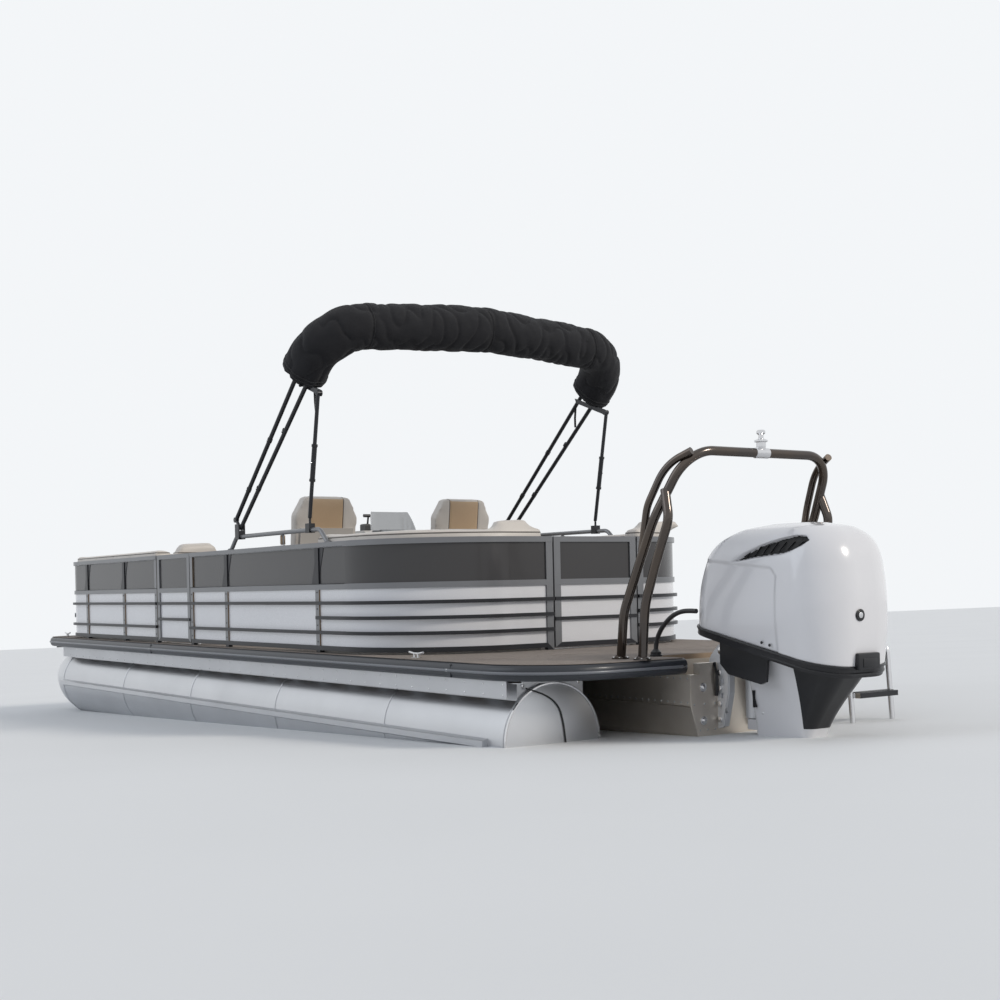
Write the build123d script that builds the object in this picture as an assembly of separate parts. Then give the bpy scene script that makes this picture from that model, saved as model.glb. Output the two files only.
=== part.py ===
"""Pontoon boat with a folded-back canopy frame, tow bar and outboard engine.

Millimetres. X points to the bow, Y to port, Z up. The origin lies in the water plane, below the
middle of the deck, so everything under Z = 0 is wet when the boat floats level.
"""
import os
from math import atan2, cos, degrees, pi, radians, sin, tan

from build123d import *

os.makedirs("parts", exist_ok=True)

# Hull
BEAM = 2590
DECK_FORE = 3800
DECK_AFT = -4430
DECK_FORE_RADIUS = 250
DECK_AFT_RADIUS = 500
DECK_TOP = 590
COVERING_THICKNESS = 3
COVERING_INSET = 20
DECK_PLATE_THICKNESS = 27
CHANNEL_HEIGHT = 75
CHANNEL_WIDTH = 90
CHANNEL_WALL = 5
CHANNEL_SPACING = 406
PONTOON_DIAMETER = 635
PONTOON_SPREAD = BEAM / 2 - 365
PONTOON_HEIGHT = 160
PONTOON_AFT = -4060
PONTOON_SHOULDER = 3350
NOSE_LENGTH = 900
NOSE_RISE = 60
CAP_DOME = 30
STRAKE_HEIGHT = 65
STRAKE_DEPTH = 34
KEEL_HEIGHT = 22
KEEL_WIDTH = 46
SADDLE_HALF_WIDTH = 220
SADDLE_WALL = 5
SADDLE_HOLE = 22
RUB_RAIL_HEIGHT = 87
RUB_RAIL_DEPTH = 50
RUB_RAIL_ROUND = 34
SKIRT_DROP = 182
SKIRT_THICKNESS = 3
SKIRT_AFT = -4080
SKIRT_FORE = 3350
NOTCH_HALF_WIDTH = 290
NOTCH_DEPTH = 300
CLEAT_LENGTH = 150
CLEAT_HEIGHT = 34
CLEAT_AFT_Y = BEAM / 2 - 90
CLEAT_FORE_Y = BEAM / 2 - 175

# Motor pod
POD_HALF_WIDTH = 330
POD_AFT = -4500
POD_FORE = -3300
POD_CHINE = 330
POD_KEEL = -100
POD_BOW_SLOPE = 38
WELL_FLOOR = 400
WELL_WALL = 8
TRANSOM_TOP = 560
TRANSOM_THICKNESS = 45
TRANSOM_HALF_WIDTH = 270

# Fence around the deck
FENCE_Y = BEAM / 2 - 80
FENCE_FORE = 3360
FENCE_AFT = -3030
FENCE_FORE_RADIUS = 350
FENCE_PORT_AFT_RADIUS = 750
FENCE_STBD_AFT_RADIUS = 600
FENCE_DEPTH = 32
FENCE_FOOT = 15
TOP_RAIL_PROUD = 3
BOTTOM_RAIL_HEIGHT = 30
MID_RAIL_LOW = 997
MID_RAIL_HEIGHT = 36
TOP_RAIL_HEIGHT = 35
FENCE_TOP = 1303
POST_WIDTH = 50
PANEL_THICKNESS = 4
PANEL_INSET = 10
TRIM_RAIL_HEIGHT = 22
TRIM_RAIL_DEPTH = 16
TRIM_SPREAD = 95
AFT_TRIM_START = -1908
GATE_GAP = 12
GATE_PORT_FORE = 940
GATE_PORT_AFT = 230
GATE_STERN_PORT = 135
GATE_STERN_STBD = -560
GATE_BOW_HALF = 340
SLANT_WIDTH = 90
SLANT_LEAN = 85
SLANT_DEPTH = 3
HINGE_RADIUS = 9
HINGE_PIN = 4
HINGE_LEAF = 6
HINGE_LENGTH = 60
PIN_CLEARANCE = 0.05

# Raised grab rails and canopy
GRAB_DIAMETER = 30
GRAB_RISE = 104
GRAB_FORE = -524
GRAB_AFT = -2050
GRAB_POST = -1388
GRAB_LEG_LEAN = 110
BOW_TUBE = 30
PIVOT_X = -690
PIVOT_Z = 1462
BOW_ANGLE = 42
BOW_REACH = 1935
BOW_CROWN = 95
BOW_CORNER = 330
CROWN_RADIUS = 2500
BOOT_START = 1440
BOOT_HEIGHT = 330
BOOT_DEPTH = 290
BOOT_CLEARANCE = 0.3
STRUT_EYE_X = -1958
STRUT_EYE_Z = 2272
STRUT_FOOT_X = -1800
STRUT_FOOT_Z = 1477
STRUT_TUBE = 26
STRUT_SLEEVE = 34

# Tow bar
TOW_TUBE = 50
TOW_HALF = 570
TOW_SPREAD = 30
TOW_TOP_HALF = 525
TOW_TOP_Z = 1678
TOW_TOP_X = -4725
TOW_FOOT_FORE = -4205
TOW_FOOT_AFT = -4385
TOW_CORNER = 210
TOW_FLANGE = 95
TOW_FLANGE_HEIGHT = 8
PYLON_TOP = 1801

# Seats
SEAT_HEIGHT = 430
SEAT_CUSHION = 105
SEAT_DEPTH = 640
SEAT_INSET = 38
SEAT_WALL = 25
BACK_THICKNESS = 150
BACK_TOP = 1365
HEADREST_TOP = 1420
KICK_HEIGHT = 80
KICK_SETBACK = 40
CUSHION_GAP = 6
CUSHION_ROUND = 22
BACK_ROUND = 40
SOFT_GAP = 0.3
MIN_CORNER = 45

# Helm
CONSOLE_X = 560
CONSOLE_Y = 425 - FENCE_Y
CONSOLE_LENGTH = 600
CONSOLE_WIDTH = 640
CONSOLE_HEIGHT = 905
CONSOLE_CORNER = 70
DASH_THICKNESS = 12
SCREEN_TOP = 1665
SCREEN_THICKNESS = 6
CHAIR_X = -450
HELM_CHAIR_Y = 515 - FENCE_Y
COMPANION_CHAIR_Y = FENCE_Y - 695
CHAIR_SEAT_Z = 1070
CHAIR_WIDTH = 540
CHAIR_TOP = 1700
CHAIR_LEAN = 8
CHAIR_BACK_X = -212
ARM_Z = 1284
PEDESTAL_RADIUS = 45
SPINDLE_RADIUS = 30
WHEEL_DIAMETER = 370
WHEEL_TILT = 28
WHEEL_RIM = 26
WHEEL_STANDOFF = 130
WHEEL_SHAFT = 12
WHEEL_SPOKES = 3

# Outboard
ENGINE_STEER_X = -4640
ENGINE_TILT_X = -4545
ENGINE_TILT_Z = 625
TILT_TUBE = 36
STEER_PIN = 40
SWIVEL_RADIUS = 48
SWIVEL_LOW = 260
SWIVEL_TOP = 600
CLAMP_INNER = 100
CLAMP_PLATE = 38
PART_LINE_FORE = 775
PART_LINE_AFT = 560
APRON_FORE = 735
APRON_AFT = 500
COWL_FORE = -4440
COWL_AFT = -5425
COWL_WALL = 8
PLATE_Z = -60
PLATE_THICKNESS = 12
PROP_Z = -275
PROP_RADIUS = 196
PROP_PITCH = 430
PROP_X = -4985
PROP_HUB = 55
PROP_BLADES = 3
GEARCASE_RADIUS = 62
SKEG_BOTTOM = -465
SKEG_THICKNESS = 14

# Boarding ladder
LADDER_Y = -930
LADDER_HALF = 170
LADDER_RAIL = 32
LADDER_STEPS = 4
LADDER_STEP_SPACING = 270
LADDER_STEP_DEPTH = 80
LADDER_HINGE_X = -4390
LADDER_HINGE_Z = 625
LADDER_REACH = 230
LADDER_LEAN = 90
LADDER_BOTTOM = -540

DECK_UNDER = DECK_TOP - COVERING_THICKNESS - DECK_PLATE_THICKNESS
CHANNEL_UNDER = DECK_UNDER - CHANNEL_HEIGHT
PONTOON_RADIUS = PONTOON_DIAMETER / 2
RAIL_LOW = DECK_TOP + FENCE_FOOT
PANEL_LOW = RAIL_LOW + BOTTOM_RAIL_HEIGHT
MID_RAIL_TOP = MID_RAIL_LOW + MID_RAIL_HEIGHT
TOP_RAIL_LOW = FENCE_TOP - TOP_RAIL_HEIGHT
GRAB_TOP = FENCE_TOP + GRAB_RISE
RAIL_Y = FENCE_Y - FENCE_DEPTH / 2
SEAT_TOP = DECK_TOP + SEAT_HEIGHT
BASE_TOP = SEAT_TOP - SEAT_CUSHION
FAR = 20000


def block(x0, x1, y0, y1, z0, z1):
    """A box given by its two corners."""
    centre = Pos((x0 + x1) / 2, (y0 + y1) / 2, (z0 + z1) / 2)
    return centre * Box(abs(x1 - x0), abs(y1 - y0), abs(z1 - z0))


def rod(start, end, radius):
    """A round bar between two points."""
    start = Vector(*start)
    end = Vector(*end)
    plane = Plane(origin=start, z_dir=end - start)
    return extrude(plane * Circle(radius), (end - start).length)


def upright(x, y, radius, z0, z1):
    """A round bar that stands on end."""
    return rod((x, y, z0), (x, y, z1), radius)


def crossways(x, z, radius, y0, y1):
    """A round bar that lies across the boat."""
    return rod((x, y0, z), (x, y1, z), radius)


def side_profile(points, y0, y1):
    """A closed outline given as X and Z, as thick as from y0 to y1."""
    face = make_face(Polyline(*[(x, 0, z) for x, z in points], close=True))
    return Pos(0, min(y0, y1), 0) * extrude(face, abs(y1 - y0), dir=(0, 1, 0))


def stern_profile(points, x0, x1):
    """A closed outline given as Y and Z, as thick as from x0 to x1."""
    face = make_face(Polyline(*[(0, y, z) for y, z in points], close=True))
    return Pos(min(x0, x1), 0, 0) * extrude(face, abs(x1 - x0), dir=(1, 0, 0))


def bent_tube(points, radii, radius):
    """A round tube whose corners are arcs of the given radii."""
    path = FilletPolyline(*points, radius=radii)
    start = Plane(origin=path @ 0, z_dir=path % 0)
    return sweep(start * Circle(radius), path=path)


def soften(shape, height, radius):
    """Round the edges that lie at one height."""
    edges = shape.edges().filter_by_position(Axis.Z, height - 0.1, height + 0.1)
    return fillet(edges, radius)


def save(name, shape):
    """Write one named piece."""
    if isinstance(shape, (list, tuple)):
        shape = Compound(children=list(shape))
    shape.label = name
    export_step(shape, os.path.join("parts", name + ".step"))


def rounded_outline(fore, aft, half, fore_r, port_r, stbd_r):
    """A plan outline as a face, with its own radius at the bow and at each stern corner."""
    outline = FilletPolyline(
        (fore, 0), (fore, half), (aft, half), (aft, -half), (fore, -half), (fore, 0.0001),
        radius=[fore_r, port_r, stbd_r, fore_r])
    close = Line(outline @ 1, outline @ 0)
    return make_face(Wire([*outline.edges(), close]))


def deck_slab(inset, z0, z1):
    """The deck outline drawn in by inset, between two heights."""
    face = rounded_outline(DECK_FORE - inset, DECK_AFT + inset, BEAM / 2 - inset,
                           DECK_FORE_RADIUS - inset, DECK_AFT_RADIUS - inset, DECK_AFT_RADIUS - inset)
    return Pos(0, 0, z0) * extrude(face, z1 - z0)


def notch(margin):
    """The engine well in the stern edge of the deck, grown by margin."""
    return block(DECK_AFT - 300, DECK_AFT + NOTCH_DEPTH + margin, -NOTCH_HALF_WIDTH - margin,
                 NOTCH_HALF_WIDTH + margin, 0, 1000)


def fence_slab(offset, z0, z1):
    """The fence outline moved out by offset, between two heights."""
    face = rounded_outline(FENCE_FORE + offset, FENCE_AFT - offset, FENCE_Y + offset,
                           max(FENCE_FORE_RADIUS + offset, MIN_CORNER),
                           max(FENCE_PORT_AFT_RADIUS + offset, MIN_CORNER),
                           max(FENCE_STBD_AFT_RADIUS + offset, MIN_CORNER))
    return Pos(0, 0, z0) * extrude(face, z1 - z0)


def fence_ring(outer, inner, z0, z1):
    """A band that follows the fence, between two offsets and two heights."""
    return fence_slab(outer, z0, z1) - fence_slab(inner, z0 - 1, z1 + 1)


# The three runs of fence between the three gates: name and the boxes that keep them
FENCE_RUNS = {
    "port_fore": [(GATE_PORT_FORE, FAR, GATE_BOW_HALF, FAR)],
    "port_aft": [(-FAR, GATE_PORT_AFT, GATE_STERN_PORT, FAR)],
    "stbd": [(-FAR, 0, -FAR, GATE_STERN_STBD), (-1, FAR, -FAR, -GATE_BOW_HALF)],
}


def keep_run(shape, run):
    """The part of a fence band that belongs to one run."""
    keep = None
    for x0, x1, y0, y1 in FENCE_RUNS[run]:
        piece = block(x0, x1, y0, y1, 0, FAR)
        keep = piece if keep is None else keep + piece
    return shape & keep


# Posts: run, X, Y, along which side the fence passes there, slanted bar or none
POSTS = {
    "port_fore": [(2700, FENCE_Y, "side", True), (1727, FENCE_Y, "side", True),
                  (GATE_PORT_FORE + POST_WIDTH / 2, FENCE_Y, "side", False),
                  (FENCE_FORE, GATE_BOW_HALF + POST_WIDTH / 2, "end", False)],
    "port_aft": [(GATE_PORT_AFT - POST_WIDTH / 2, FENCE_Y, "side", False),
                 (-453, FENCE_Y, "side", True), (-1908, FENCE_Y, "side", True),
                 (FENCE_AFT, GATE_STERN_PORT + POST_WIDTH / 2, "end", False)],
    "stbd": [(FENCE_AFT, GATE_STERN_STBD - POST_WIDTH / 2, "end", False),
             (-1908, -FENCE_Y, "side", True), (-453, -FENCE_Y, "side", True),
             (300, -FENCE_Y, "side", False), (1055, -FENCE_Y, "side", False),
             (1880, -FENCE_Y, "side", True), (2700, -FENCE_Y, "side", True),
             (FENCE_FORE, -GATE_BOW_HALF - POST_WIDTH / 2, "end", False)],
}
PANEL_MIDDLE = (PANEL_LOW + MID_RAIL_LOW) / 2
FULL_TRIM = [PANEL_MIDDLE - TRIM_SPREAD, PANEL_MIDDLE, PANEL_MIDDLE + TRIM_SPREAD]
GATE_TRIM = [PANEL_MIDDLE - TRIM_SPREAD / 3, PANEL_MIDDLE + TRIM_SPREAD]


def post_box(x, y, side, z0, z1):
    """One upright of the fence, as deep as its rails."""
    half = POST_WIDTH / 2
    if side == "side":
        inner = y - FENCE_DEPTH if y > 0 else y + FENCE_DEPTH
        return block(x - half, x + half, y, inner, z0, z1)
    inner = x - FENCE_DEPTH if x > 0 else x + FENCE_DEPTH
    return block(x, inner, y - half, y + half, z0, z1)


def slant_bar(x, y):
    """A dark slanted bar on a side panel, leaning aft as it rises."""
    sign = 1 if y > 0 else -1
    low_x = x + SLANT_LEAN / 2
    top_x = x - SLANT_LEAN / 2
    half = SLANT_WIDTH / 2
    points = [(low_x + half, MID_RAIL_TOP), (low_x - half, MID_RAIL_TOP),
              (top_x - half, TOP_RAIL_LOW), (top_x + half, TOP_RAIL_LOW)]
    outer = y - sign * PANEL_INSET
    return side_profile(points, outer, outer + sign * SLANT_DEPTH)


def fence_frame(run):
    """Rails, posts, trim rails and slanted bars of one run of fence."""
    rails = fence_ring(0, -FENCE_DEPTH, RAIL_LOW, PANEL_LOW)
    rails = rails + fence_ring(0, -FENCE_DEPTH, MID_RAIL_LOW, MID_RAIL_TOP)
    rails = rails + fence_ring(TOP_RAIL_PROUD, -FENCE_DEPTH - TOP_RAIL_PROUD, TOP_RAIL_LOW, FENCE_TOP)
    frame = keep_run(rails, run)
    for x, y, side, slanted in POSTS[run]:
        frame = frame + post_box(x, y, side, DECK_TOP, TOP_RAIL_LOW + 1)
        if slanted:
            frame = frame + slant_bar(x, y)
    for number, height in enumerate(FULL_TRIM):
        band = fence_ring(TRIM_RAIL_DEPTH, -PANEL_INSET, height - TRIM_RAIL_HEIGHT / 2,
                          height + TRIM_RAIL_HEIGHT / 2)
        band = keep_run(band, run)
        if number == 1:
            band = band & block(-FAR, AFT_TRIM_START, -FAR, FAR, 0, FAR)
        if band.volume > 1:
            frame = frame + band
    return frame


def fence_panels(z0, z1):
    """The sheets that fill all three runs between two heights."""
    sheet = fence_ring(-PANEL_INSET, -PANEL_INSET - PANEL_THICKNESS, z0, z1)
    sheets = []
    for run, posts in POSTS.items():
        piece = keep_run(sheet, run)
        for x, y, side, slanted in posts:
            piece = piece - post_box(x, y, side, 0, FAR)
        sheets += piece.solids()
    return sheets


# Gates: hinge end, free end, which way the gate lies, place of its outer face, outward sign
GATES = {
    "gate_port": dict(low=GATE_PORT_AFT, high=GATE_PORT_FORE, axis="x", plane=FENCE_Y, out=1),
    "gate_stern": dict(low=GATE_STERN_STBD, high=GATE_STERN_PORT, axis="y", plane=FENCE_AFT, out=-1),
    "gate_bow": dict(low=-GATE_BOW_HALF, high=GATE_BOW_HALF, axis="y", plane=FENCE_FORE, out=1),
}
HINGE_HEIGHTS = [PANEL_LOW + 60, MID_RAIL_TOP + 60]


def gate_block(gate, u0, u1, d0, d1, z0, z1):
    """A box in a gate's own place: u along the gate, d inwards from its outer face."""
    plane = gate["plane"]
    out = gate["out"]
    if gate["axis"] == "x":
        return block(u0, u1, plane - out * d0, plane - out * d1, z0, z1)
    return block(plane - out * d0, plane - out * d1, u0, u1, z0, z1)


def gate_axis(gate):
    """X and Y of a gate's hinge line."""
    along = gate["low"] + GATE_GAP / 2
    across = gate["plane"] - gate["out"] * (FENCE_DEPTH + HINGE_RADIUS)
    return (along, across) if gate["axis"] == "x" else (across, along)


def gate_frame(gate):
    """Stiles, rails, trim rails and hinge barrels of one gate."""
    low = gate["low"] + GATE_GAP
    high = gate["high"] - GATE_GAP
    frame = gate_block(gate, low, low + POST_WIDTH, 0, FENCE_DEPTH, RAIL_LOW, FENCE_TOP)
    frame = frame + gate_block(gate, high - POST_WIDTH, high, 0, FENCE_DEPTH, RAIL_LOW, FENCE_TOP)
    for z0, z1 in ((RAIL_LOW, PANEL_LOW), (MID_RAIL_LOW, MID_RAIL_TOP), (TOP_RAIL_LOW, FENCE_TOP)):
        frame = frame + gate_block(gate, low, high, 0, FENCE_DEPTH, z0, z1)
    for height in GATE_TRIM:
        frame = frame + gate_block(gate, low + 1, high - 1, -TRIM_RAIL_DEPTH / 2, PANEL_INSET,
                                   height - TRIM_RAIL_HEIGHT / 2, height + TRIM_RAIL_HEIGHT / 2)
    x, y = gate_axis(gate)
    for height in HINGE_HEIGHTS:
        top = height + HINGE_LENGTH
        leaf = gate_block(gate, low - GATE_GAP / 2, low + POST_WIDTH / 2, FENCE_DEPTH,
                          FENCE_DEPTH + HINGE_LEAF, height, top)
        barrel = upright(x, y, HINGE_RADIUS, height, top)
        bore = upright(x, y, HINGE_PIN + PIN_CLEARANCE, height - 1, top + 1)
        frame = frame + leaf + barrel - bore
    return frame


def gate_hinges():
    """The fixed hinge halves: a leaf on the post, a collar and a pin for each barrel."""
    halves = []
    for gate in GATES.values():
        x, y = gate_axis(gate)
        for height in HINGE_HEIGHTS:
            top = height - SOFT_GAP
            low = top - HINGE_LENGTH / 2
            leaf = gate_block(gate, gate["low"] - POST_WIDTH / 2, gate["low"] + GATE_GAP / 2,
                              FENCE_DEPTH, FENCE_DEPTH + HINGE_LEAF, low, top)
            collar = upright(x, y, HINGE_RADIUS, low, top)
            pin = upright(x, y, HINGE_PIN, low, height + HINGE_LENGTH - 2)
            halves.append(leaf + collar + pin)
    return halves


def gate_panels(gate):
    """The two sheets inside a gate's frame."""
    low = gate["low"] + GATE_GAP + POST_WIDTH
    high = gate["high"] - GATE_GAP - POST_WIDTH
    sheets = []
    for z0, z1 in ((PANEL_LOW, MID_RAIL_LOW), (MID_RAIL_TOP, TOP_RAIL_LOW)):
        sheets.append(gate_block(gate, low, high, PANEL_INSET, PANEL_INSET + PANEL_THICKNESS, z0, z1))
    return sheets


# Nose sections: fraction of the nose length, radius as a share of the tube's, rise as a share
NOSE_SECTIONS = [(0.0, 1.0, 0.0), (0.35, 0.86, 0.35), (0.72, 0.5, 0.85), (1.0, 0.12, 1.35)]


def pontoon(side):
    """One tube with its raised nose, stern cap, side strake and keel strip."""
    y = side * PONTOON_SPREAD
    length = PONTOON_SHOULDER - PONTOON_AFT
    tube = Pos(PONTOON_AFT, y, PONTOON_HEIGHT) * extrude(Plane.YZ * Circle(PONTOON_RADIUS), length)
    faces = []
    for along, size, rise in NOSE_SECTIONS:
        x = PONTOON_SHOULDER + along * NOSE_LENGTH
        plane = Plane(origin=(x, y, PONTOON_HEIGHT + rise * NOSE_RISE), z_dir=(1, 0, 0))
        faces.append(plane * Circle(size * PONTOON_RADIUS))
    nose = loft(faces)
    dome_radius = (PONTOON_RADIUS ** 2 + CAP_DOME ** 2) / (2 * CAP_DOME)
    ball = Pos(PONTOON_AFT - CAP_DOME + dome_radius, y, PONTOON_HEIGHT) * Sphere(dome_radius)
    cap = Pos(PONTOON_AFT - CAP_DOME, y, PONTOON_HEIGHT) * extrude(Plane.YZ * Circle(PONTOON_RADIUS),
                                                                   CAP_DOME + 1)
    hull = tube + nose + (ball & cap)
    outer = y + side * (PONTOON_RADIUS + STRAKE_DEPTH)
    inner = y + side * (PONTOON_RADIUS - 12)
    half = STRAKE_HEIGHT / 2
    section = make_face(Polyline((inner, PONTOON_HEIGHT - half), (outer, PONTOON_HEIGHT - half * 0.5),
                                 (outer, PONTOON_HEIGHT + half * 0.5),
                                 (inner, PONTOON_HEIGHT + half), close=True))
    strake_start = PONTOON_AFT + 160
    strake = Pos(strake_start, 0, 0) * extrude(Plane.YZ * section, PONTOON_SHOULDER - strake_start)
    keel_z = PONTOON_HEIGHT - PONTOON_RADIUS
    keel = block(PONTOON_AFT + 100, PONTOON_SHOULDER, y - KEEL_WIDTH / 2, y + KEEL_WIDTH / 2,
                 keel_z - KEEL_HEIGHT, keel_z + 4)
    return hull + strake + keel


def saddle(side):
    """The long bracket that joins one tube to the cross channels."""
    y = side * PONTOON_SPREAD
    half = SADDLE_HALF_WIDTH
    low = PONTOON_HEIGHT + (PONTOON_RADIUS ** 2 - half ** 2) ** 0.5
    outline = [(y - half, low - 12), (y + half, low - 12), (y + half, CHANNEL_UNDER),
               (y - half, CHANNEL_UNDER)]
    start = PONTOON_AFT + 15
    beam = stern_profile(outline, start, PONTOON_SHOULDER - 60)
    hollow = block(start - 5, PONTOON_SHOULDER, y - half + SADDLE_WALL, y + half - SADDLE_WALL,
                   0, CHANNEL_UNDER - SADDLE_WALL)
    piece = (beam - hollow) + stern_profile(outline, start, start + SADDLE_WALL)
    for dy in (-0.68 * half, 0.68 * half):
        piece = piece - rod((start - 20, y + dy, low + 40), (start + 20, y + dy, low + 40),
                            SADDLE_HOLE / 2)
    return piece - rod((PONTOON_AFT - 50, y, PONTOON_HEIGHT), (PONTOON_SHOULDER, y, PONTOON_HEIGHT),
                       PONTOON_RADIUS + SOFT_GAP)


def cross_channels():
    """Channels across the boat that carry the deck, trimmed to its outline."""
    channels = []
    bounds = deck_slab(RUB_RAIL_DEPTH + 6, CHANNEL_UNDER, DECK_UNDER)
    count = int((DECK_FORE - DECK_AFT - 500) // CHANNEL_SPACING) + 1
    first = DECK_AFT + 330
    gap = POD_HALF_WIDTH + 2
    for number in range(count):
        x = first + number * CHANNEL_SPACING
        web = block(x - CHANNEL_WIDTH / 2, x + CHANNEL_WIDTH / 2, -FAR, FAR, CHANNEL_UNDER, DECK_UNDER)
        inside = block(x - CHANNEL_WIDTH / 2 + CHANNEL_WALL, x + CHANNEL_WIDTH, -FAR, FAR,
                       CHANNEL_UNDER + CHANNEL_WALL, DECK_UNDER - CHANNEL_WALL)
        channel = (web - inside) & bounds
        if x < POD_FORE + 100:
            channels.append(channel & block(-FAR, FAR, gap, FAR, 0, FAR))
            channels.append(channel & block(-FAR, FAR, -FAR, -gap, 0, FAR))
        else:
            channels.append(channel)
    return channels


def rub_rail():
    """The dark half-round bumper that runs round the deck edge, open at the engine well."""
    low = DECK_TOP - COVERING_THICKNESS - RUB_RAIL_HEIGHT
    top = DECK_TOP - COVERING_THICKNESS
    outer = deck_slab(0, low, top)
    outer = soften(soften(outer, top, RUB_RAIL_ROUND), low, RUB_RAIL_ROUND)
    return outer - deck_slab(RUB_RAIL_DEPTH, low - 1, top + 1) - notch(0)


def side_skirts():
    """Sheets below the rub rail that hide the channel ends."""
    skirts = []
    for side in (1, -1):
        y = side * (BEAM / 2 - RUB_RAIL_DEPTH - 5)
        skirts.append(block(SKIRT_AFT, SKIRT_FORE, y, y + side * SKIRT_THICKNESS,
                            DECK_TOP - SKIRT_DROP, DECK_TOP - COVERING_THICKNESS - RUB_RAIL_HEIGHT))
    return skirts


def motor_pod():
    """The vee-bottomed pod between the tubes, its engine well and the transom on its stern."""
    half = POD_HALF_WIDTH
    knuckle = POD_CHINE - 160
    outline = [(-half, DECK_UNDER), (-half, POD_CHINE), (-half * 0.86, knuckle), (0, POD_KEEL),
               (half * 0.86, knuckle), (half, POD_CHINE), (half, DECK_UNDER)]
    pod = stern_profile(outline, POD_AFT, POD_FORE)
    bow_cut = Pos(POD_FORE, 0, POD_KEEL) * Rot(0, -POD_BOW_SLOPE, 0) * Box(
        900, 900, 900, align=(Align.MIN, Align.CENTER, Align.CENTER))
    rail_low = DECK_TOP - COVERING_THICKNESS - RUB_RAIL_HEIGHT
    under_rail = block(POD_AFT - 1, DECK_AFT + RUB_RAIL_DEPTH + 1, -FAR, FAR, rail_low, 1000)
    well = block(POD_AFT + TRANSOM_THICKNESS, DECK_AFT + NOTCH_DEPTH, -half + WELL_WALL,
                 half - WELL_WALL, WELL_FLOOR, 1000)
    transom = block(POD_AFT, POD_AFT + TRANSOM_THICKNESS, -TRANSOM_HALF_WIDTH, TRANSOM_HALF_WIDTH,
                    rail_low - 60, TRANSOM_TOP)
    return (pod - bow_cut - under_rail - well) + transom


def raised_rails():
    """The raised grab rails on top of both sides of the fence."""
    rails = []
    radius = GRAB_DIAMETER / 2
    above = block(-FAR, FAR, -FAR, FAR, FENCE_TOP, GRAB_TOP + 50)
    for side in (1, -1):
        y = side * RAIL_Y
        z = GRAB_TOP - radius
        low = FENCE_TOP - 10
        points = [(GRAB_FORE, y, low), (GRAB_FORE - GRAB_LEG_LEAN, y, z), (-1100, y, z + 1),
                  (GRAB_AFT + GRAB_LEG_LEAN, y, z), (GRAB_AFT, y, low)]
        rail = bent_tube(points, [60, 300, 90], radius)
        post = upright(GRAB_POST, y, radius * 0.8, low, z)
        rails.append((rail + post) & above)
    return rails


def along_bow(distance, drop=0.0):
    """X and Z of a point on the canopy's leg line, dropped square to that line."""
    angle = radians(BOW_ANGLE)
    return (PIVOT_X - distance * cos(angle) - drop * sin(angle),
            PIVOT_Z + distance * sin(angle) - drop * cos(angle))


def arch_path(start, drop):
    """An inverted U: leg, corner, crowned top, corner, leg; start and drop as along_bow has them."""
    foot_x, foot_z = along_bow(start, drop[0])
    corner_x, corner_z = along_bow(BOW_REACH - BOW_CROWN, drop[1])
    top_x, top_z = along_bow(BOW_REACH, drop[1])
    points = [(foot_x, RAIL_Y, foot_z), (corner_x, RAIL_Y, corner_z), (top_x, 0, top_z),
              (corner_x, -RAIL_Y, corner_z), (foot_x, -RAIL_Y, foot_z)]
    return FilletPolyline(*points, radius=[BOW_CORNER, CROWN_RADIUS, BOW_CORNER])


# Canopy bows: start along the leg line, drop at the start and at the top
UPPER_FOOT = (-8, -80)
BOWS = [(UPPER_FOOT[0], (UPPER_FOOT[1], -63)), (12, (20, 103))]
LINK_ALONG = 1310
LINK_DROP = -78
LINK_THICKNESS = 9


def bow_tube(bow, radius):
    """One canopy bow, or a bore for it."""
    start, drop = bow
    path = arch_path(start, drop)
    return sweep(Plane(origin=path @ 0, z_dir=path % 0) * Circle(radius), path=path)


def link_plate(side, margin):
    """The flat link from the upper bow down to a strut's eye, grown by margin."""
    top_x, top_z = along_bow(LINK_ALONG, LINK_DROP)
    near = RAIL_Y - BOW_TUBE / 2 + 1 + margin
    far = near - LINK_THICKNESS - 2 * margin
    outline = [(top_x - 12 - margin, top_z - 18 - margin), (top_x + 4 + margin, top_z + 20 + margin),
               (STRUT_EYE_X - 6 - margin, STRUT_EYE_Z + 20 + margin),
               (STRUT_EYE_X - 6 - margin, STRUT_EYE_Z - 20 - margin)]
    eye = crossways(STRUT_EYE_X, STRUT_EYE_Z, 20 + margin, side * near, side * far)
    return side_profile(outline, side * near, side * far) + eye


def canopy_bows():
    """Both bows, the casting at each foot that joins them, and the links that carry the struts."""
    frame = bow_tube(BOWS[0], BOW_TUBE / 2) + bow_tube(BOWS[1], BOW_TUBE / 2)
    pivot = (PIVOT_X, PIVOT_Z)
    upper_foot = along_bow(*UPPER_FOOT)
    for side in (1, -1):
        y = side * RAIL_Y
        boss = crossways(*pivot, 20, y - 11, y + 11)
        arm = rod((pivot[0], y, pivot[1]), (upper_foot[0], y, upper_foot[1]), 12)
        knuckle = crossways(*upper_foot, 19, y - 14, y + 14)
        frame = frame + boss + arm + knuckle
        pin = crossways(STRUT_EYE_X, STRUT_EYE_Z, 5, y - side * (BOW_TUBE / 2 + 2), y + side * 14)
        frame = frame + link_plate(side, 0) + pin
        frame = frame - crossways(*pivot, 6 + PIN_CLEARANCE, y - 40, y + 40)
    return frame


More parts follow.
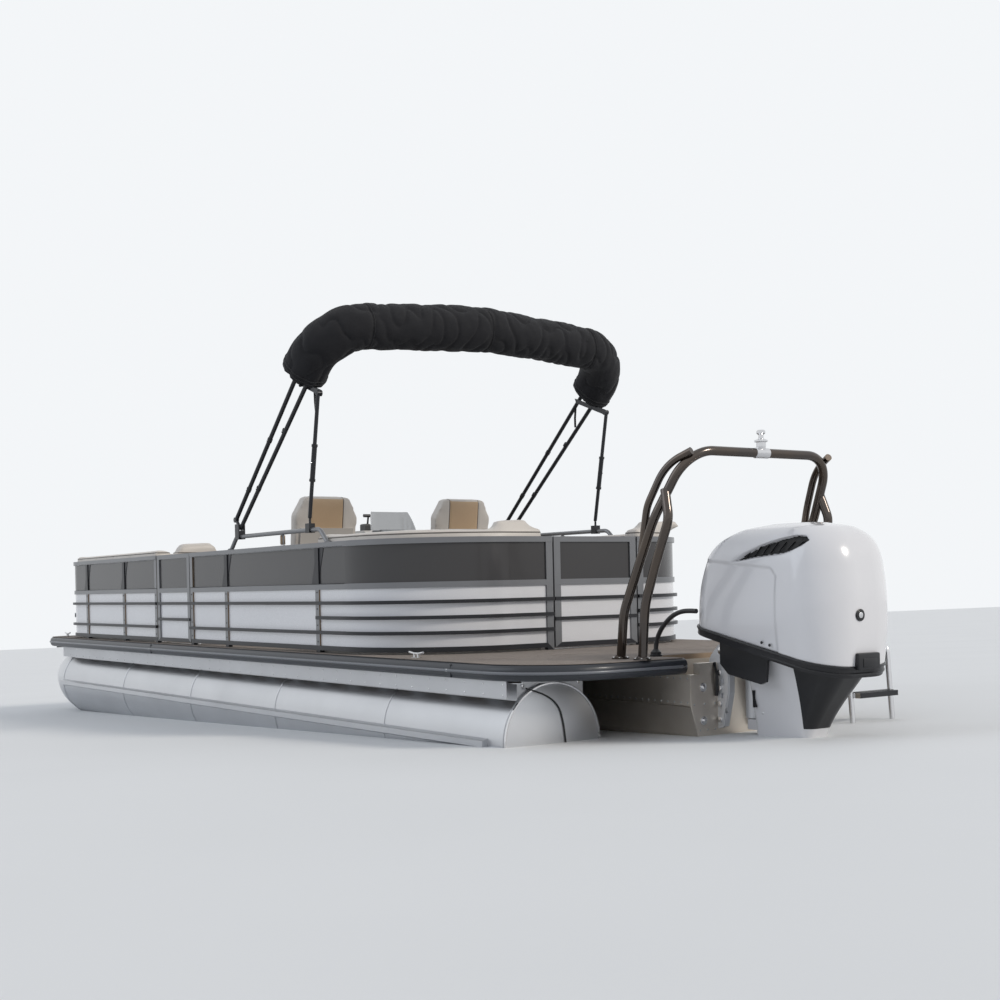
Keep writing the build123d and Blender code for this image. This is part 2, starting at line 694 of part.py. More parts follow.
def canopy_boot():
    """The rolled cover that holds the folded canopy round the top of its bows."""
    path = arch_path(BOOT_START, (0, 0))
    start = Plane(origin=path @ 0, z_dir=path % 0, x_dir=(0, 1, 0))
    boot = sweep(start * Ellipse(BOOT_DEPTH / 2, BOOT_HEIGHT / 2), path=path)
    for bow in BOWS:
        boot = boot - bow_tube(bow, BOW_TUBE / 2 + BOOT_CLEARANCE)
    for side in (1, -1):
        boot = boot - link_plate(side, BOOT_CLEARANCE * 3)
    return boot


def canopy_mounts():
    """Clamps on the raised rails: forks with pins for the bows, studs for the struts' feet."""
    mounts = []
    grip = GRAB_DIAMETER / 2 + SOFT_GAP
    for side in (1, -1):
        y = side * RAIL_Y
        top = GRAB_TOP + 28
        fork = block(PIVOT_X - 34, PIVOT_X + 30, y - 26, y + 26, GRAB_TOP - 34, PIVOT_Z + 20)
        fork = fork - block(PIVOT_X - 60, PIVOT_X + 60, y - 17, y + 17, top - 2, PIVOT_Z + 60)
        fork = fork - rod((PIVOT_X - 60, y, GRAB_TOP - 15), (PIVOT_X + 60, y, GRAB_TOP - 15), grip)
        pin = crossways(PIVOT_X, PIVOT_Z, 6, y - 25, y + 25)
        mounts.append(fork + pin)
        foot = block(STRUT_FOOT_X - 28, STRUT_FOOT_X + 28, y - 22, y + 22, GRAB_TOP - 34, top)
        foot = foot - rod((STRUT_FOOT_X - 60, y, GRAB_TOP - 15), (STRUT_FOOT_X + 60, y, GRAB_TOP - 15), grip)
        stud = upright(STRUT_FOOT_X, y, 8, top - 1, STRUT_FOOT_Z - STRUT_TUBE / 2 - SOFT_GAP)
        mounts.append(foot + stud)
    return mounts


def canopy_strut(side):
    """One strut: eye, tube, locking sleeve and rounded foot."""
    y = side * RAIL_Y
    eye = Vector(STRUT_EYE_X, y, STRUT_EYE_Z)
    foot = Vector(STRUT_FOOT_X, y, STRUT_FOOT_Z)
    tube = rod(eye, foot, STRUT_TUBE / 2)
    sleeve = rod(eye + (foot - eye) * 0.42, eye + (foot - eye) * 0.7, STRUT_SLEEVE / 2)
    strut = tube + sleeve + Pos(*foot) * Sphere(STRUT_TUBE / 2)
    strut = strut + crossways(STRUT_EYE_X, STRUT_EYE_Z, 17, y - 12, y + 12)
    return strut - crossways(STRUT_EYE_X, STRUT_EYE_Z, 5 + PIN_CLEARANCE, y - 40, y + 40)


# Tow bar tubes on one side, X, Y and Z; the hoop itself is mirrored into one run
def tow_bar():
    """Double hoop of polished tube with braces, on deck flanges."""
    r = TOW_TUBE / 2
    y = TOW_HALF
    wide = TOW_HALF + TOW_SPREAD
    knee = TOW_HALF + TOW_SPREAD * 0.8
    deck = DECK_TOP - TOW_TUBE / 2
    leg = [(TOW_FOOT_FORE, y, deck), (TOW_FOOT_FORE - 65, knee, DECK_TOP + 254), (-4534, wide, 1330)]
    corner = (TOW_TOP_X, TOW_TOP_HALF, TOW_TOP_Z)
    points = leg + [corner, (corner[0], -corner[1], corner[2])] + [(px, -py, pz) for px, py, pz in leg[::-1]]
    bar = bent_tube(points, [400, 500, TOW_CORNER, TOW_CORNER, 500, 400], r)
    for side in (1, -1):
        brace = [(TOW_FOOT_AFT, side * y, deck), (TOW_FOOT_AFT - 60, side * knee, 883),
                 (-4538, side * wide, 1086), (-4652, side * wide, 1326), (-4603, side * (y + 8), 1480)]
        handle = [(-4432, side * wide, 1160), (-4484, side * wide, 1400), (-4590, side * (y - 10), 1610),
                  (-4735, side * (y - 60), 1672)]
        bar = bar + bent_tube(brace, [500, 300, 110], r)
        bar = bar + bent_tube(handle, [260, 260], r * 0.8)
        for x in (TOW_FOOT_FORE, TOW_FOOT_AFT):
            bar = bar + upright(x, side * y, TOW_FLANGE / 2, DECK_TOP, DECK_TOP + TOW_FLANGE_HEIGHT)
    return bar - block(TOW_TOP_X, 0, -FAR, FAR, 0, DECK_TOP)


def tow_pylon():
    """The turned post in the middle of the tow bar that takes a tow line's eye."""
    low = TOW_TOP_Z + TOW_TUBE * 0.2
    # radius, height
    outline = [(0, low), (24, low), (26, TOW_TOP_Z + 34), (26, TOW_TOP_Z + 56), (36, TOW_TOP_Z + 60),
               (36, TOW_TOP_Z + 68), (14, TOW_TOP_Z + 78), (14, PYLON_TOP - 26), (24, PYLON_TOP - 18),
               (24, PYLON_TOP - 6), (18, PYLON_TOP), (0, PYLON_TOP)]
    face = make_face(Polyline(*[(px, 0, pz) for px, pz in outline], close=True))
    post = Pos(TOW_TOP_X, 0, 0) * revolve(face, Axis.Z)
    return post - crossways(TOW_TOP_X, TOW_TOP_Z, TOW_TUBE / 2 + 0.1, -100, 100)


# Seats: X and Y limits of the whole seat, X limits of the part that lifts as a lid
BOW_SEAT = (FENCE_FORE - 2290, FENCE_FORE - 350)
BOW_BACK_FORE = FENCE_FORE - 230
BOW_SEAT_EDGE = FENCE_Y - 670
BOW_LID = (BOW_SEAT[0] + 170, BOW_SEAT[1] - 12)
AFT_PORT_SEAT_FORE = -1850
AFT_STBD_SEAT_FORE = -1200
SEATS = {
    "bow_port": dict(x=BOW_SEAT, y=(BOW_SEAT_EDGE, FAR), lid=BOW_LID),
    "bow_stbd": dict(x=BOW_SEAT, y=(-FAR, -BOW_SEAT_EDGE), lid=BOW_LID),
    "aft_port": dict(x=(-FAR, AFT_PORT_SEAT_FORE), y=(FENCE_Y - 1045, FAR),
                     lid=(AFT_PORT_SEAT_FORE - 385, AFT_PORT_SEAT_FORE - 30)),
    "aft_stbd": dict(x=(-FAR, AFT_STBD_SEAT_FORE), y=(-FAR, 643 - FENCE_Y),
                     lid=(AFT_STBD_SEAT_FORE - 1175, AFT_STBD_SEAT_FORE - 30)),
}


def seat_region(seat, z0, z1, shrink=0.0):
    """The box that a seat may fill."""
    x0, x1 = seat["x"]
    y0, y1 = seat["y"]
    return block(x0 + shrink, x1 - shrink, y0 + (shrink if y0 > -FAR else 0),
                 y1 - (shrink if y1 < FAR else 0), z0, z1)


def seat_sign(seat):
    """1 for a port seat, -1 for a starboard one."""
    return 1 if seat["y"][1] > 0 else -1


def seat_inner_edge(seat):
    """Y of a seat's front edge beside the gangway."""
    sign = seat_sign(seat)
    limit = min(abs(seat["y"][0]), abs(seat["y"][1]))
    return sign * max(limit, FENCE_Y - SEAT_INSET - SEAT_DEPTH)


def lid_hinge(seat):
    """Y and Z of the line on which a seat's lid turns."""
    back_face = FENCE_Y - SEAT_INSET - BACK_THICKNESS
    return (seat_sign(seat) * (back_face - CUSHION_GAP), SEAT_TOP)


def seat_base(seat):
    """A moulded seat base with a toe recess and an open bin under its lid."""
    body = fence_ring(-SEAT_INSET, -SEAT_INSET - SEAT_DEPTH, DECK_TOP + KICK_HEIGHT, BASE_TOP)
    body = body & seat_region(seat, 0, FAR)
    kick = fence_ring(-SEAT_INSET, -SEAT_INSET - SEAT_DEPTH + KICK_SETBACK, DECK_TOP,
                      DECK_TOP + KICK_HEIGHT + 1)
    kick = kick & seat_region(seat, 0, 3000, KICK_SETBACK)
    sign = seat_sign(seat)
    lid0, lid1 = seat["lid"]
    front = seat_inner_edge(seat) + sign * (KICK_SETBACK + SEAT_WALL)
    rear = lid_hinge(seat)[0] - sign * SEAT_WALL
    hollow = block(lid0 + 2 * SEAT_WALL, lid1 - 2 * SEAT_WALL, front, rear,
                   DECK_TOP + SEAT_WALL, BASE_TOP + 1)
    return body + kick - hollow


def seat_lid(seat):
    """The cushion that lifts off the bin."""
    sign = seat_sign(seat)
    lid0, lid1 = seat["lid"]
    front = seat_inner_edge(seat) - sign * 12
    rear = lid_hinge(seat)[0]
    cushion = block(lid0, lid1, front, rear, BASE_TOP + SOFT_GAP, SEAT_TOP)
    return soften(cushion, SEAT_TOP, CUSHION_ROUND)


def seat_fixed(seat):
    """The part of the seat cushion that stays put, beside the lid."""
    band = fence_ring(-SEAT_INSET - BACK_THICKNESS - CUSHION_GAP, -SEAT_INSET - SEAT_DEPTH - 12,
                      BASE_TOP + SOFT_GAP, SEAT_TOP)
    band = band & seat_region(seat, 0, FAR)
    lid0, lid1 = seat["lid"]
    rest = band - block(lid0 - CUSHION_GAP, FAR, -FAR, FAR, 0, FAR)
    return soften(rest, SEAT_TOP, CUSHION_ROUND)


def seat_back(seat):
    """The back cushion that follows the fence."""
    band = fence_ring(-SEAT_INSET, -SEAT_INSET - BACK_THICKNESS, BASE_TOP + SOFT_GAP, BACK_TOP)
    region = seat_region(seat, 0, FAR)
    if seat["x"] == BOW_SEAT:
        region = seat_region(dict(x=(BOW_SEAT[0], BOW_BACK_FORE), y=seat["y"]), 0, FAR)
    return soften(band & region, BACK_TOP, BACK_ROUND)


def lounge_back(seat):
    """The back across a bow lounge, with its top narrowed to a headrest."""
    sign = seat_sign(seat)
    inner = abs(seat_inner_edge(seat))
    outer = abs(lid_hinge(seat)[0])
    shoulder = HEADREST_TOP - 150
    low = BASE_TOP + SOFT_GAP
    outline = [(inner, low), (outer, low), (outer, shoulder), (outer - 110, HEADREST_TOP),
               (inner + 110, HEADREST_TOP), (inner, shoulder)]
    x0 = seat["x"][0]
    back = stern_profile([(sign * py, pz) for py, pz in outline], x0 + 5, x0 + BACK_THICKNESS)
    return soften(back, HEADREST_TOP, BACK_ROUND)


# Headrests on the stern backs: Y limits
HEADRESTS = [(230, 520), (-1040, -640)]


def headrest(y0, y1):
    """A raised pad on top of a stern back."""
    x = FENCE_AFT + SEAT_INSET + BACK_THICKNESS / 2
    z = BACK_TOP - 5
    outline = [(y0, z), (y1, z), (y1 - 45, HEADREST_TOP), (y0 + 45, HEADREST_TOP)]
    return soften(stern_profile(outline, x - 45, x + 45), HEADREST_TOP, 20)


# Helm console in side view, X from the console's middle and Z, clockwise from its aft foot
CONSOLE_PROFILE = [(-215, DECK_TOP), (-215, 760), (-262, 800), (-290, 1335), (-330, 1352),
                   (-85, DECK_TOP + CONSOLE_HEIGHT), (70, DECK_TOP + CONSOLE_HEIGHT),
                   (230, 1400), (285, 1120), (300, DECK_TOP)]


def helm_shaft(distance):
    """A point on the steering shaft, measured from where it leaves the console."""
    tilt = radians(WHEEL_TILT)
    return (CONSOLE_X - 276 - distance * cos(tilt), CONSOLE_Y, 1240 + distance * sin(tilt))


def helm_console():
    """The moulded console with its foot recess and the steering boss."""
    half = CONSOLE_WIDTH / 2
    prism = side_profile([(CONSOLE_X + px, pz) for px, pz in CONSOLE_PROFILE],
                         CONSOLE_Y - half, CONSOLE_Y + half)
    plan = Pos(CONSOLE_X - 15, CONSOLE_Y, DECK_TOP) * extrude(
        RectangleRounded(CONSOLE_LENGTH + 40, CONSOLE_WIDTH, CONSOLE_CORNER), CONSOLE_HEIGHT + 10)
    boss = rod(helm_shaft(-40), helm_shaft(40), 36)
    bore = rod(helm_shaft(-10), helm_shaft(60), WHEEL_SHAFT + PIN_CLEARANCE)
    return (prism & plan) + boss - bore


def helm_dash():
    """The dark instrument panel with a raised screen on the sloping top."""
    low = Vector(CONSOLE_X + CONSOLE_PROFILE[4][0], CONSOLE_Y, CONSOLE_PROFILE[4][1])
    high = Vector(CONSOLE_X + CONSOLE_PROFILE[5][0], CONSOLE_Y, CONSOLE_PROFILE[5][1])
    length = (high - low).length
    slope = Plane(origin=(low + high) / 2, x_dir=high - low, z_dir=(low - high).cross(Vector(0, 1, 0)) * -1)
    panel = slope * extrude(RectangleRounded(length * 0.86, CONSOLE_WIDTH - 130, 25), DASH_THICKNESS)
    screen = slope * Pos(20, 60, DASH_THICKNESS) * extrude(RectangleRounded(170, 260, 12), 16)
    return panel + screen


def helm_throttle():
    """The throttle binnacle and its lever on the console's outer shoulder."""
    x = CONSOLE_X + CONSOLE_PROFILE[5][0] + 60
    y = CONSOLE_Y + CONSOLE_WIDTH / 2 - 52
    z = DECK_TOP + CONSOLE_HEIGHT
    box = soften(block(x - 45, x + 45, y - 28, y + 28, z, z + 60), z + 60, 14)
    lever = rod((x, y - 20, z + 45), (x - 20, y - 20, z + 130), 8)
    grip = rod((x - 20, y - 34, z + 130), (x - 20, y + 26, z + 130), 14)
    return box + lever + grip


def helm_windscreen():
    """The curved, raked screen on top of the console."""
    top = DECK_TOP + CONSOLE_HEIGHT
    x = CONSOLE_X + CONSOLE_PROFILE[6][0] - 20
    width = CONSOLE_WIDTH - 190
    outer = RectangleRounded(300, width, 120)
    inner = RectangleRounded(300 - 2 * SCREEN_THICKNESS, width - 2 * SCREEN_THICKNESS,
                             120 - SCREEN_THICKNESS)
    ring = extrude(outer, 300) - extrude(inner, 300)
    ring = Pos(x - 150, CONSOLE_Y, top) * ring
    keep = side_profile([(x - 110, top), (x + 50, top), (x + 50, SCREEN_TOP), (x - 30, SCREEN_TOP)],
                        CONSOLE_Y - width, CONSOLE_Y + width)
    return ring & keep


def helm_wheel():
    """Steering wheel: rim, three spokes, hub and the shaft that enters the console."""
    centre = helm_shaft(WHEEL_STANDOFF)
    ahead = helm_shaft(WHEEL_STANDOFF + 1)
    axis = Vector(*ahead) - Vector(*centre)
    plane = Plane(origin=centre, x_dir=(0, 1, 0), z_dir=axis)
    reach = WHEEL_DIAMETER / 2 - WHEEL_RIM / 2
    wheel = plane * Torus(reach, WHEEL_RIM / 2)
    hub = rod(helm_shaft(WHEEL_STANDOFF - 22), helm_shaft(WHEEL_STANDOFF + 12), 42)
    shaft = rod(helm_shaft(-9), helm_shaft(WHEEL_STANDOFF), WHEEL_SHAFT)
    spoke = Pos(0, 0, -5) * extrude(make_face(Polyline((0, -17), (reach, -11), (reach, 11), (0, 17),
                                                       close=True)), 8)
    for number in range(WHEEL_SPOKES):
        wheel = wheel + plane * Rot(0, 0, 90 + 360 / WHEEL_SPOKES * number) * spoke
    return wheel + hub + shaft


def chair_pedestal(y):
    """Floor plate and column with a bore for the chair's spindle."""
    top = CHAIR_SEAT_Z - 145
    plate = upright(CHAIR_X, y, 140, DECK_TOP, DECK_TOP + 12)
    column = upright(CHAIR_X, y, PEDESTAL_RADIUS, DECK_TOP, top)
    return plate + column - upright(CHAIR_X, y, SPINDLE_RADIUS + PIN_CLEARANCE, top - 90, top + 1)


def chair_frame(y):
    """Spindle, pan, back plate and arm brackets of one chair."""
    top = CHAIR_SEAT_Z - 145
    half = CHAIR_WIDTH / 2
    pan_top = top + 41
    spindle = upright(CHAIR_X, y, SPINDLE_RADIUS, top - 85, top + 10)
    hub = upright(CHAIR_X, y, 85, top + 1, top + 17)
    pan = block(CHAIR_X - 215, CHAIR_X + 235, y - half + 40, y + half - 40, top + 16, pan_top)
    frame = spindle + hub + pan
    plate = block(-14, 0, y - half + 50, y + half - 50, 0, 520)
    frame = frame + Pos(CHAIR_X + CHAIR_BACK_X, 0, top + 17) * Rot(0, -CHAIR_LEAN, 0) * plate
    for side in (1, -1):
        outer = y + side * (half - 12)
        leg = side_profile([(CHAIR_X - 85, top + 17), (CHAIR_X - 15, top + 17), (CHAIR_X - 10, 1235),
                            (CHAIR_X + 90, ARM_Z - 22), (CHAIR_X + 150, ARM_Z - 22),
                            (CHAIR_X + 150, ARM_Z), (CHAIR_X - 88, ARM_Z)], outer, outer - side * 16)
        foot = block(CHAIR_X - 85, CHAIR_X - 15, y + side * (half - 42), outer, top + 17, pan_top)
        frame = frame + leg + foot
    return frame


def chair_cushions(y):
    """Seat pad, back pad with chamfered shoulders, and two armrest pads."""
    base = CHAIR_SEAT_Z - 104
    half = CHAIR_WIDTH / 2
    pad = block(CHAIR_X - 185, CHAIR_X + 265, y - half + 30, y + half - 30, base + SOFT_GAP, CHAIR_SEAT_Z)
    pad = soften(pad, CHAIR_SEAT_Z, 30)
    low = 20
    tall = (CHAIR_TOP - base) / cos(radians(CHAIR_LEAN))
    outline = [(-half + 45, low), (half - 45, low), (half - 6, 170), (half, tall - 150),
               (half - 75, tall - 12), (half - 120, tall), (-half + 120, tall),
               (-half + 75, tall - 12), (-half, tall - 150), (-half + 6, 170)]
    slab = stern_profile(outline, 0, 108)
    edges = slab.edges().filter_by_position(Axis.X, 107.9, 108.1)
    slab = fillet(edges, 32)
    rise = base - (CHAIR_SEAT_Z - 145 + 17)
    back_x = CHAIR_X + CHAIR_BACK_X - rise * tan(radians(CHAIR_LEAN)) + SOFT_GAP
    back = Pos(back_x, y, base) * Rot(0, -CHAIR_LEAN, 0) * slab
    back = back - block(CHAIR_X - 190, CHAIR_X + 300, y - half, y + half, 0, CHAIR_SEAT_Z + CUSHION_GAP)
    pieces = [pad, back]
    for side in (1, -1):
        centre = y + side * (half - 10)
        arm = block(CHAIR_X - 92, CHAIR_X + 175, centre - 32, centre + 32, ARM_Z + SOFT_GAP, ARM_Z + 54)
        pieces.append(soften(arm, ARM_Z + 54, 18))
    return pieces


# Engine cover sections: height, fore X, aft X, half width, fore and aft corner radius
COWL_SECTIONS = [(380, -4475, -5375, 240, 100, 170), (560, -4450, -5405, 272, 120, 200),
                 (800, COWL_FORE, COWL_AFT, 300, 150, 235), (1020, -4465, -5417, 291, 150, 230),
                 (1180, -4545, -5375, 258, 140, 200), (1262, -4690, -5275, 186, 110, 150),
                 (1290, -4860, -5135, 90, 50, 70)]
# Exhaust housing sections, columns as above
MIDSECTION = [(700, -4705, -5385, 200, 70, 150), (520, -4708, -5330, 150, 60, 100),
              (400, -4712, -5235, 120, 50, 80), (235, -4718, -5118, 92, 40, 55),
              (PLATE_Z, -4735, -5030, 60, 25, 35)]
ACCENT_FORE = -5075


def plan_loft(sections, inset=0.0):
    """A loft through plan outlines, each drawn in by inset."""
    faces = []
    for z, fore, aft, half, fore_r, aft_r in sections:
        face = rounded_outline(fore - inset, aft + inset, half - inset, fore_r - inset, aft_r - inset,
                               aft_r - inset)
        faces.append(Pos(0, 0, z) * face)
    return loft(faces)


def above_line(fore_z, aft_z, lift=0.0):
    """All the space above a line that slopes from the cover's nose to its tail."""
    slope = (fore_z - aft_z) / (COWL_FORE - COWL_AFT)
    x0 = COWL_AFT - 200
    x1 = COWL_FORE + 200
    z0 = aft_z - 200 * slope + lift
    z1 = fore_z + 200 * slope + lift
    return side_profile([(x0, z0), (x1, z1), (x1, FAR), (x0, FAR)], -600, 600)


def outboard_cowl():
    """The engine cover: a lofted shell, open below at its sloping part line."""
    shell = plan_loft(COWL_SECTIONS)
    inner_sections = [COWL_SECTIONS[0]]
    for z, fore, aft, half, fore_r, aft_r in COWL_SECTIONS[1:]:
        inner_sections.append((z - COWL_WALL, fore, aft, half, fore_r, aft_r))
    inner = plan_loft(inner_sections, COWL_WALL)
    return (shell - inner) & above_line(PART_LINE_FORE, PART_LINE_AFT)


def outboard_apron():
    """The dark tray that closes the cover from below."""
    tray = plan_loft(COWL_SECTIONS) & above_line(APRON_FORE, APRON_AFT)
    return tray - above_line(PART_LINE_FORE, PART_LINE_AFT)


def outboard_powerhead():
    """The engine itself, as one plain block under the cover."""
    body = block(-5240, -4600, -190, 190, 500, 1130)
    return body & above_line(PART_LINE_FORE, PART_LINE_AFT)


def outboard_midsection():
    """The exhaust housing with the steering pin and its two arms."""
    housing = plan_loft(MIDSECTION) - above_line(APRON_FORE, APRON_AFT)
    housing = housing - block(-FAR, ACCENT_FORE, -FAR, FAR, 235, FAR)
    x = ENGINE_STEER_X
    pin = upright(x, 0, STEER_PIN / 2, SWIVEL_LOW - 60, SWIVEL_TOP + 55)
    for z0, z1 in ((SWIVEL_TOP + 5, SWIVEL_TOP + 55), (SWIVEL_LOW - 60, SWIVEL_LOW - 5)):
        arm = upright(x, 0, 40, z0, z1) + block(x, -4760, -52, 52, z0, z1)
        housing = housing + arm
    return housing + pin


def outboard_accent():
    """The dark rear cladding of the exhaust housing, down to its pointed foot."""
    housing = plan_loft(MIDSECTION) - above_line(APRON_FORE, APRON_AFT)
    return housing & block(-FAR, ACCENT_FORE, -FAR, FAR, 235, FAR)


def outboard_gearcase():
    """Anti-ventilation plate, leg, torpedo and skeg."""
    plate = Pos(0, 0, PLATE_Z - PLATE_THICKNESS) * extrude(
        rounded_outline(-4670, -5290, 128, 60, 90, 90), PLATE_THICKNESS)
    leg_sections = [(PLATE_Z - PLATE_THICKNESS, -4735, -5030, 56, 25, 35),
                    (PROP_Z + 30, -4700, -4970, 42, 20, 20)]
    leg = plan_loft(leg_sections)
    r = GEARCASE_RADIUS
    nose = -4595
    # X and radius of the torpedo's outline
    outline = [(nose, 0), (nose - 12, 0.35 * r), (nose - 60, 0.78 * r), (nose - 140, r),
               (PROP_X + 60, r), (PROP_X, PROP_HUB), (PROP_X, 0)]
    torpedo = Pos(0, 0, PROP_Z) * revolve(make_face(Polyline(*[(px, 0, pz) for px, pz in outline],
                                                          close=True)), Axis.X)
    skeg = side_profile([(-4690, PROP_Z - 40), (-4930, PROP_Z - 40), (-4955, SKEG_BOTTOM + 20),
                         (-4930, SKEG_BOTTOM), (-4860, SKEG_BOTTOM)],
                        -SKEG_THICKNESS / 2, SKEG_THICKNESS / 2)
    shaft = rod((PROP_X + 5, 0, PROP_Z), (PROP_X - 100, 0, PROP_Z), 14)
    return plate + leg + torpedo + skeg + shaft


# Propeller blade sections: radius, chord, thickness
BLADE_SECTIONS = [(42, 96, 16), (85, 140, 11), (135, 158, 8), (178, 118, 6), (194, 62, 4)]


def propeller():
    """Hub with an exhaust ring and three pitched blades, lofted from lens sections."""
    middle = PROP_X - 62
    faces = []
    for radius, chord, thickness in BLADE_SECTIONS:
        angle = degrees(atan2(PROP_PITCH, 2 * pi * radius))
        plane = Plane(origin=(middle - 0.12 * radius, 0, PROP_Z + radius), x_dir=(0, 1, 0),
                      z_dir=(0, 0, 1))
        upper = ThreePointArc((-chord / 2, 0), (0, thickness / 2), (chord / 2, 0))
        lower = ThreePointArc((chord / 2, 0), (0, -thickness / 2), (-chord / 2, 0))
        lens = make_face(Wire([upper.edge(), lower.edge()]))
        faces.append(plane * Rot(0, 0, angle) * lens)
    blade = loft(faces)
    hub = rod((PROP_X - 1, 0, PROP_Z), (PROP_X - 124, 0, PROP_Z), PROP_HUB)
    prop = hub
    for number in range(PROP_BLADES):
        turn = Pos(0, 0, PROP_Z) * Rot(360 / PROP_BLADES * number, 0, 0) * Pos(0, 0, -PROP_Z)
        prop = prop + turn * blade
    tip = block(PROP_X + 50, PROP_X - 300, -FAR, FAR, -FAR, FAR)
    prop = prop & tip
    return prop - rod((PROP_X + 5, 0, PROP_Z), (PROP_X - 101, 0, PROP_Z), 14 + PIN_CLEARANCE)


def outboard_clamp():
    """Two side plates hooked over the transom, joined by the tilt tube."""
    front = POD_AFT + TRANSOM_THICKNESS
    profile = [(POD_AFT, 200), (POD_AFT - 45, 215), (POD_AFT - 92, 400), (POD_AFT - 95, 600),
               (POD_AFT - 78, 652), (POD_AFT - 12, 655), (front, 600), (front + 18, 568),
               (front + 18, 440), (front, 440), (front, TRANSOM_TOP), (POD_AFT, TRANSOM_TOP)]
    bracket = crossways(ENGINE_TILT_X, ENGINE_TILT_Z, TILT_TUBE / 2, -CLAMP_INNER - CLAMP_PLATE,
                        CLAMP_INNER + CLAMP_PLATE)
    for side in (1, -1):
        plate = side_profile(profile, side * CLAMP_INNER, side * (CLAMP_INNER + CLAMP_PLATE))
        for z in (300, 380, 460):
            slot = side_profile([(POD_AFT - 66, z - 14), (POD_AFT - 26, z - 14), (POD_AFT - 26, z + 14),
                                 (POD_AFT - 66, z + 14)], side * (CLAMP_INNER + CLAMP_PLATE - 14),
                                side * (CLAMP_INNER + CLAMP_PLATE + 1))
            plate = plate - slot
        bracket = bracket + plate
    return bracket


def outboard_swivel():
    """The swivel bracket: head on the tilt tube, web and the column that holds the steering pin."""
    x = ENGINE_STEER_X
    head = crossways(ENGINE_TILT_X, ENGINE_TILT_Z, TILT_TUBE / 2 + 16, -CLAMP_INNER + 5, CLAMP_INNER - 5)
    column = upright(x, 0, SWIVEL_RADIUS, SWIVEL_LOW, SWIVEL_TOP)
    web = side_profile([(x, 440), (x + 44, 500), (ENGINE_TILT_X + 4, 596), (ENGINE_TILT_X - 10, SWIVEL_TOP + 4),
                        (ENGINE_TILT_X - 30, SWIVEL_TOP), (x, SWIVEL_TOP)], -44, 44)
    bore = crossways(ENGINE_TILT_X, ENGINE_TILT_Z, TILT_TUBE / 2 + PIN_CLEARANCE, -200, 200)
    pin = upright(x, 0, STEER_PIN / 2 + PIN_CLEARANCE, 0, 1000)
    return head + column + web - bore - pin


def ladder_rail_y(side):
    """Y of one ladder rail."""
    return LADDER_Y + side * LADDER_HALF


def ladder_mounts():
    """Deck plates with ears and a hinge pin for each ladder rail."""
    mounts = []
    radius = LADDER_RAIL / 2
    for side in (1, -1):
        y = ladder_rail_y(side)
        base = block(LADDER_HINGE_X + 130, LADDER_HINGE_X + 240, y - 34, y + 34, DECK_TOP, DECK_TOP + 6)
        piece = base
        for ear in (1, -1):
            inner = y + ear * (radius + 3)
            outer = inner + ear * 6
            cheek = side_profile([(LADDER_HINGE_X + 240, DECK_TOP + 5), (LADDER_HINGE_X + 130, DECK_TOP + 5),
                                  (LADDER_HINGE_X - 12, LADDER_HINGE_Z - 14),
                                  (LADDER_HINGE_X - 16, LADDER_HINGE_Z + 12),
                                  (LADDER_HINGE_X + 130, LADDER_HINGE_Z + 10)], inner, outer)
            piece = piece + cheek
        pin = crossways(LADDER_HINGE_X, LADDER_HINGE_Z, 6, y - radius - 9, y + radius + 9)
        mounts.append(piece + pin)
    return mounts


def ladder():
    """The fold-up boarding ladder: two bent rails and its treads."""
    radius = LADDER_RAIL / 2
    corner_x = LADDER_HINGE_X - LADDER_REACH
    foot_x = corner_x - LADDER_LEAN
    frame = None
    for side in (1, -1):
        y = ladder_rail_y(side)
        points = [(LADDER_HINGE_X, y, LADDER_HINGE_Z), (corner_x, y, LADDER_HINGE_Z),
                  (foot_x, y, LADDER_BOTTOM)]
        rail = bent_tube(points, [70], radius)
        eye = crossways(LADDER_HINGE_X, LADDER_HINGE_Z, radius + 2, y - radius - 1, y + radius + 1)
        rail = rail + eye - crossways(LADDER_HINGE_X, LADDER_HINGE_Z, 6 + PIN_CLEARANCE, y - 40, y + 40)
        frame = rail if frame is None else frame + rail
    tall = LADDER_HINGE_Z - LADDER_BOTTOM
    for number in range(LADDER_STEPS):
        z = LADDER_BOTTOM + 60 + number * LADDER_STEP_SPACING
        x = foot_x + LADDER_LEAN * (z - LADDER_BOTTOM) / tall
        half = LADDER_HALF - radius / 2
        tread = block(x + radius + 3, x + radius - LADDER_STEP_DEPTH, LADDER_Y - half, LADDER_Y + half,
                      z - 15, z + 15)
        frame = frame + tread
    return frame


# Cleats: X and Y on the deck outside the fence
CLEATS = [(-3120, CLEAT_AFT_Y), (-3120, -CLEAT_AFT_Y), (3600, CLEAT_FORE_Y), (3600, -CLEAT_FORE_Y)]


def cleat(x, y):
    """A two-horned mooring cleat."""
    z = DECK_TOP + CLEAT_HEIGHT
    half = CLEAT_LENGTH / 2
    horns = bent_tube([(x - half, y, z), (x - 25, y, z - 7), (x + 25, y, z - 7), (x + half, y, z)],
                      [150, 150], 7)
    base = block(x - 38, x + 38, y - 14, y + 14, DECK_TOP, DECK_TOP + 6)
    legs = upright(x - 20, y, 7, DECK_TOP, z - 7) + upright(x + 20, y, 7, DECK_TOP, z - 7)
    return horns + base + legs


# Lamps on the bow corners: height, width and height of the lens, depth
BOW_LAMPS = [(800, 84, 44, 26), (880, 44, 26, 20)]
LAMP_ANGLE = 45


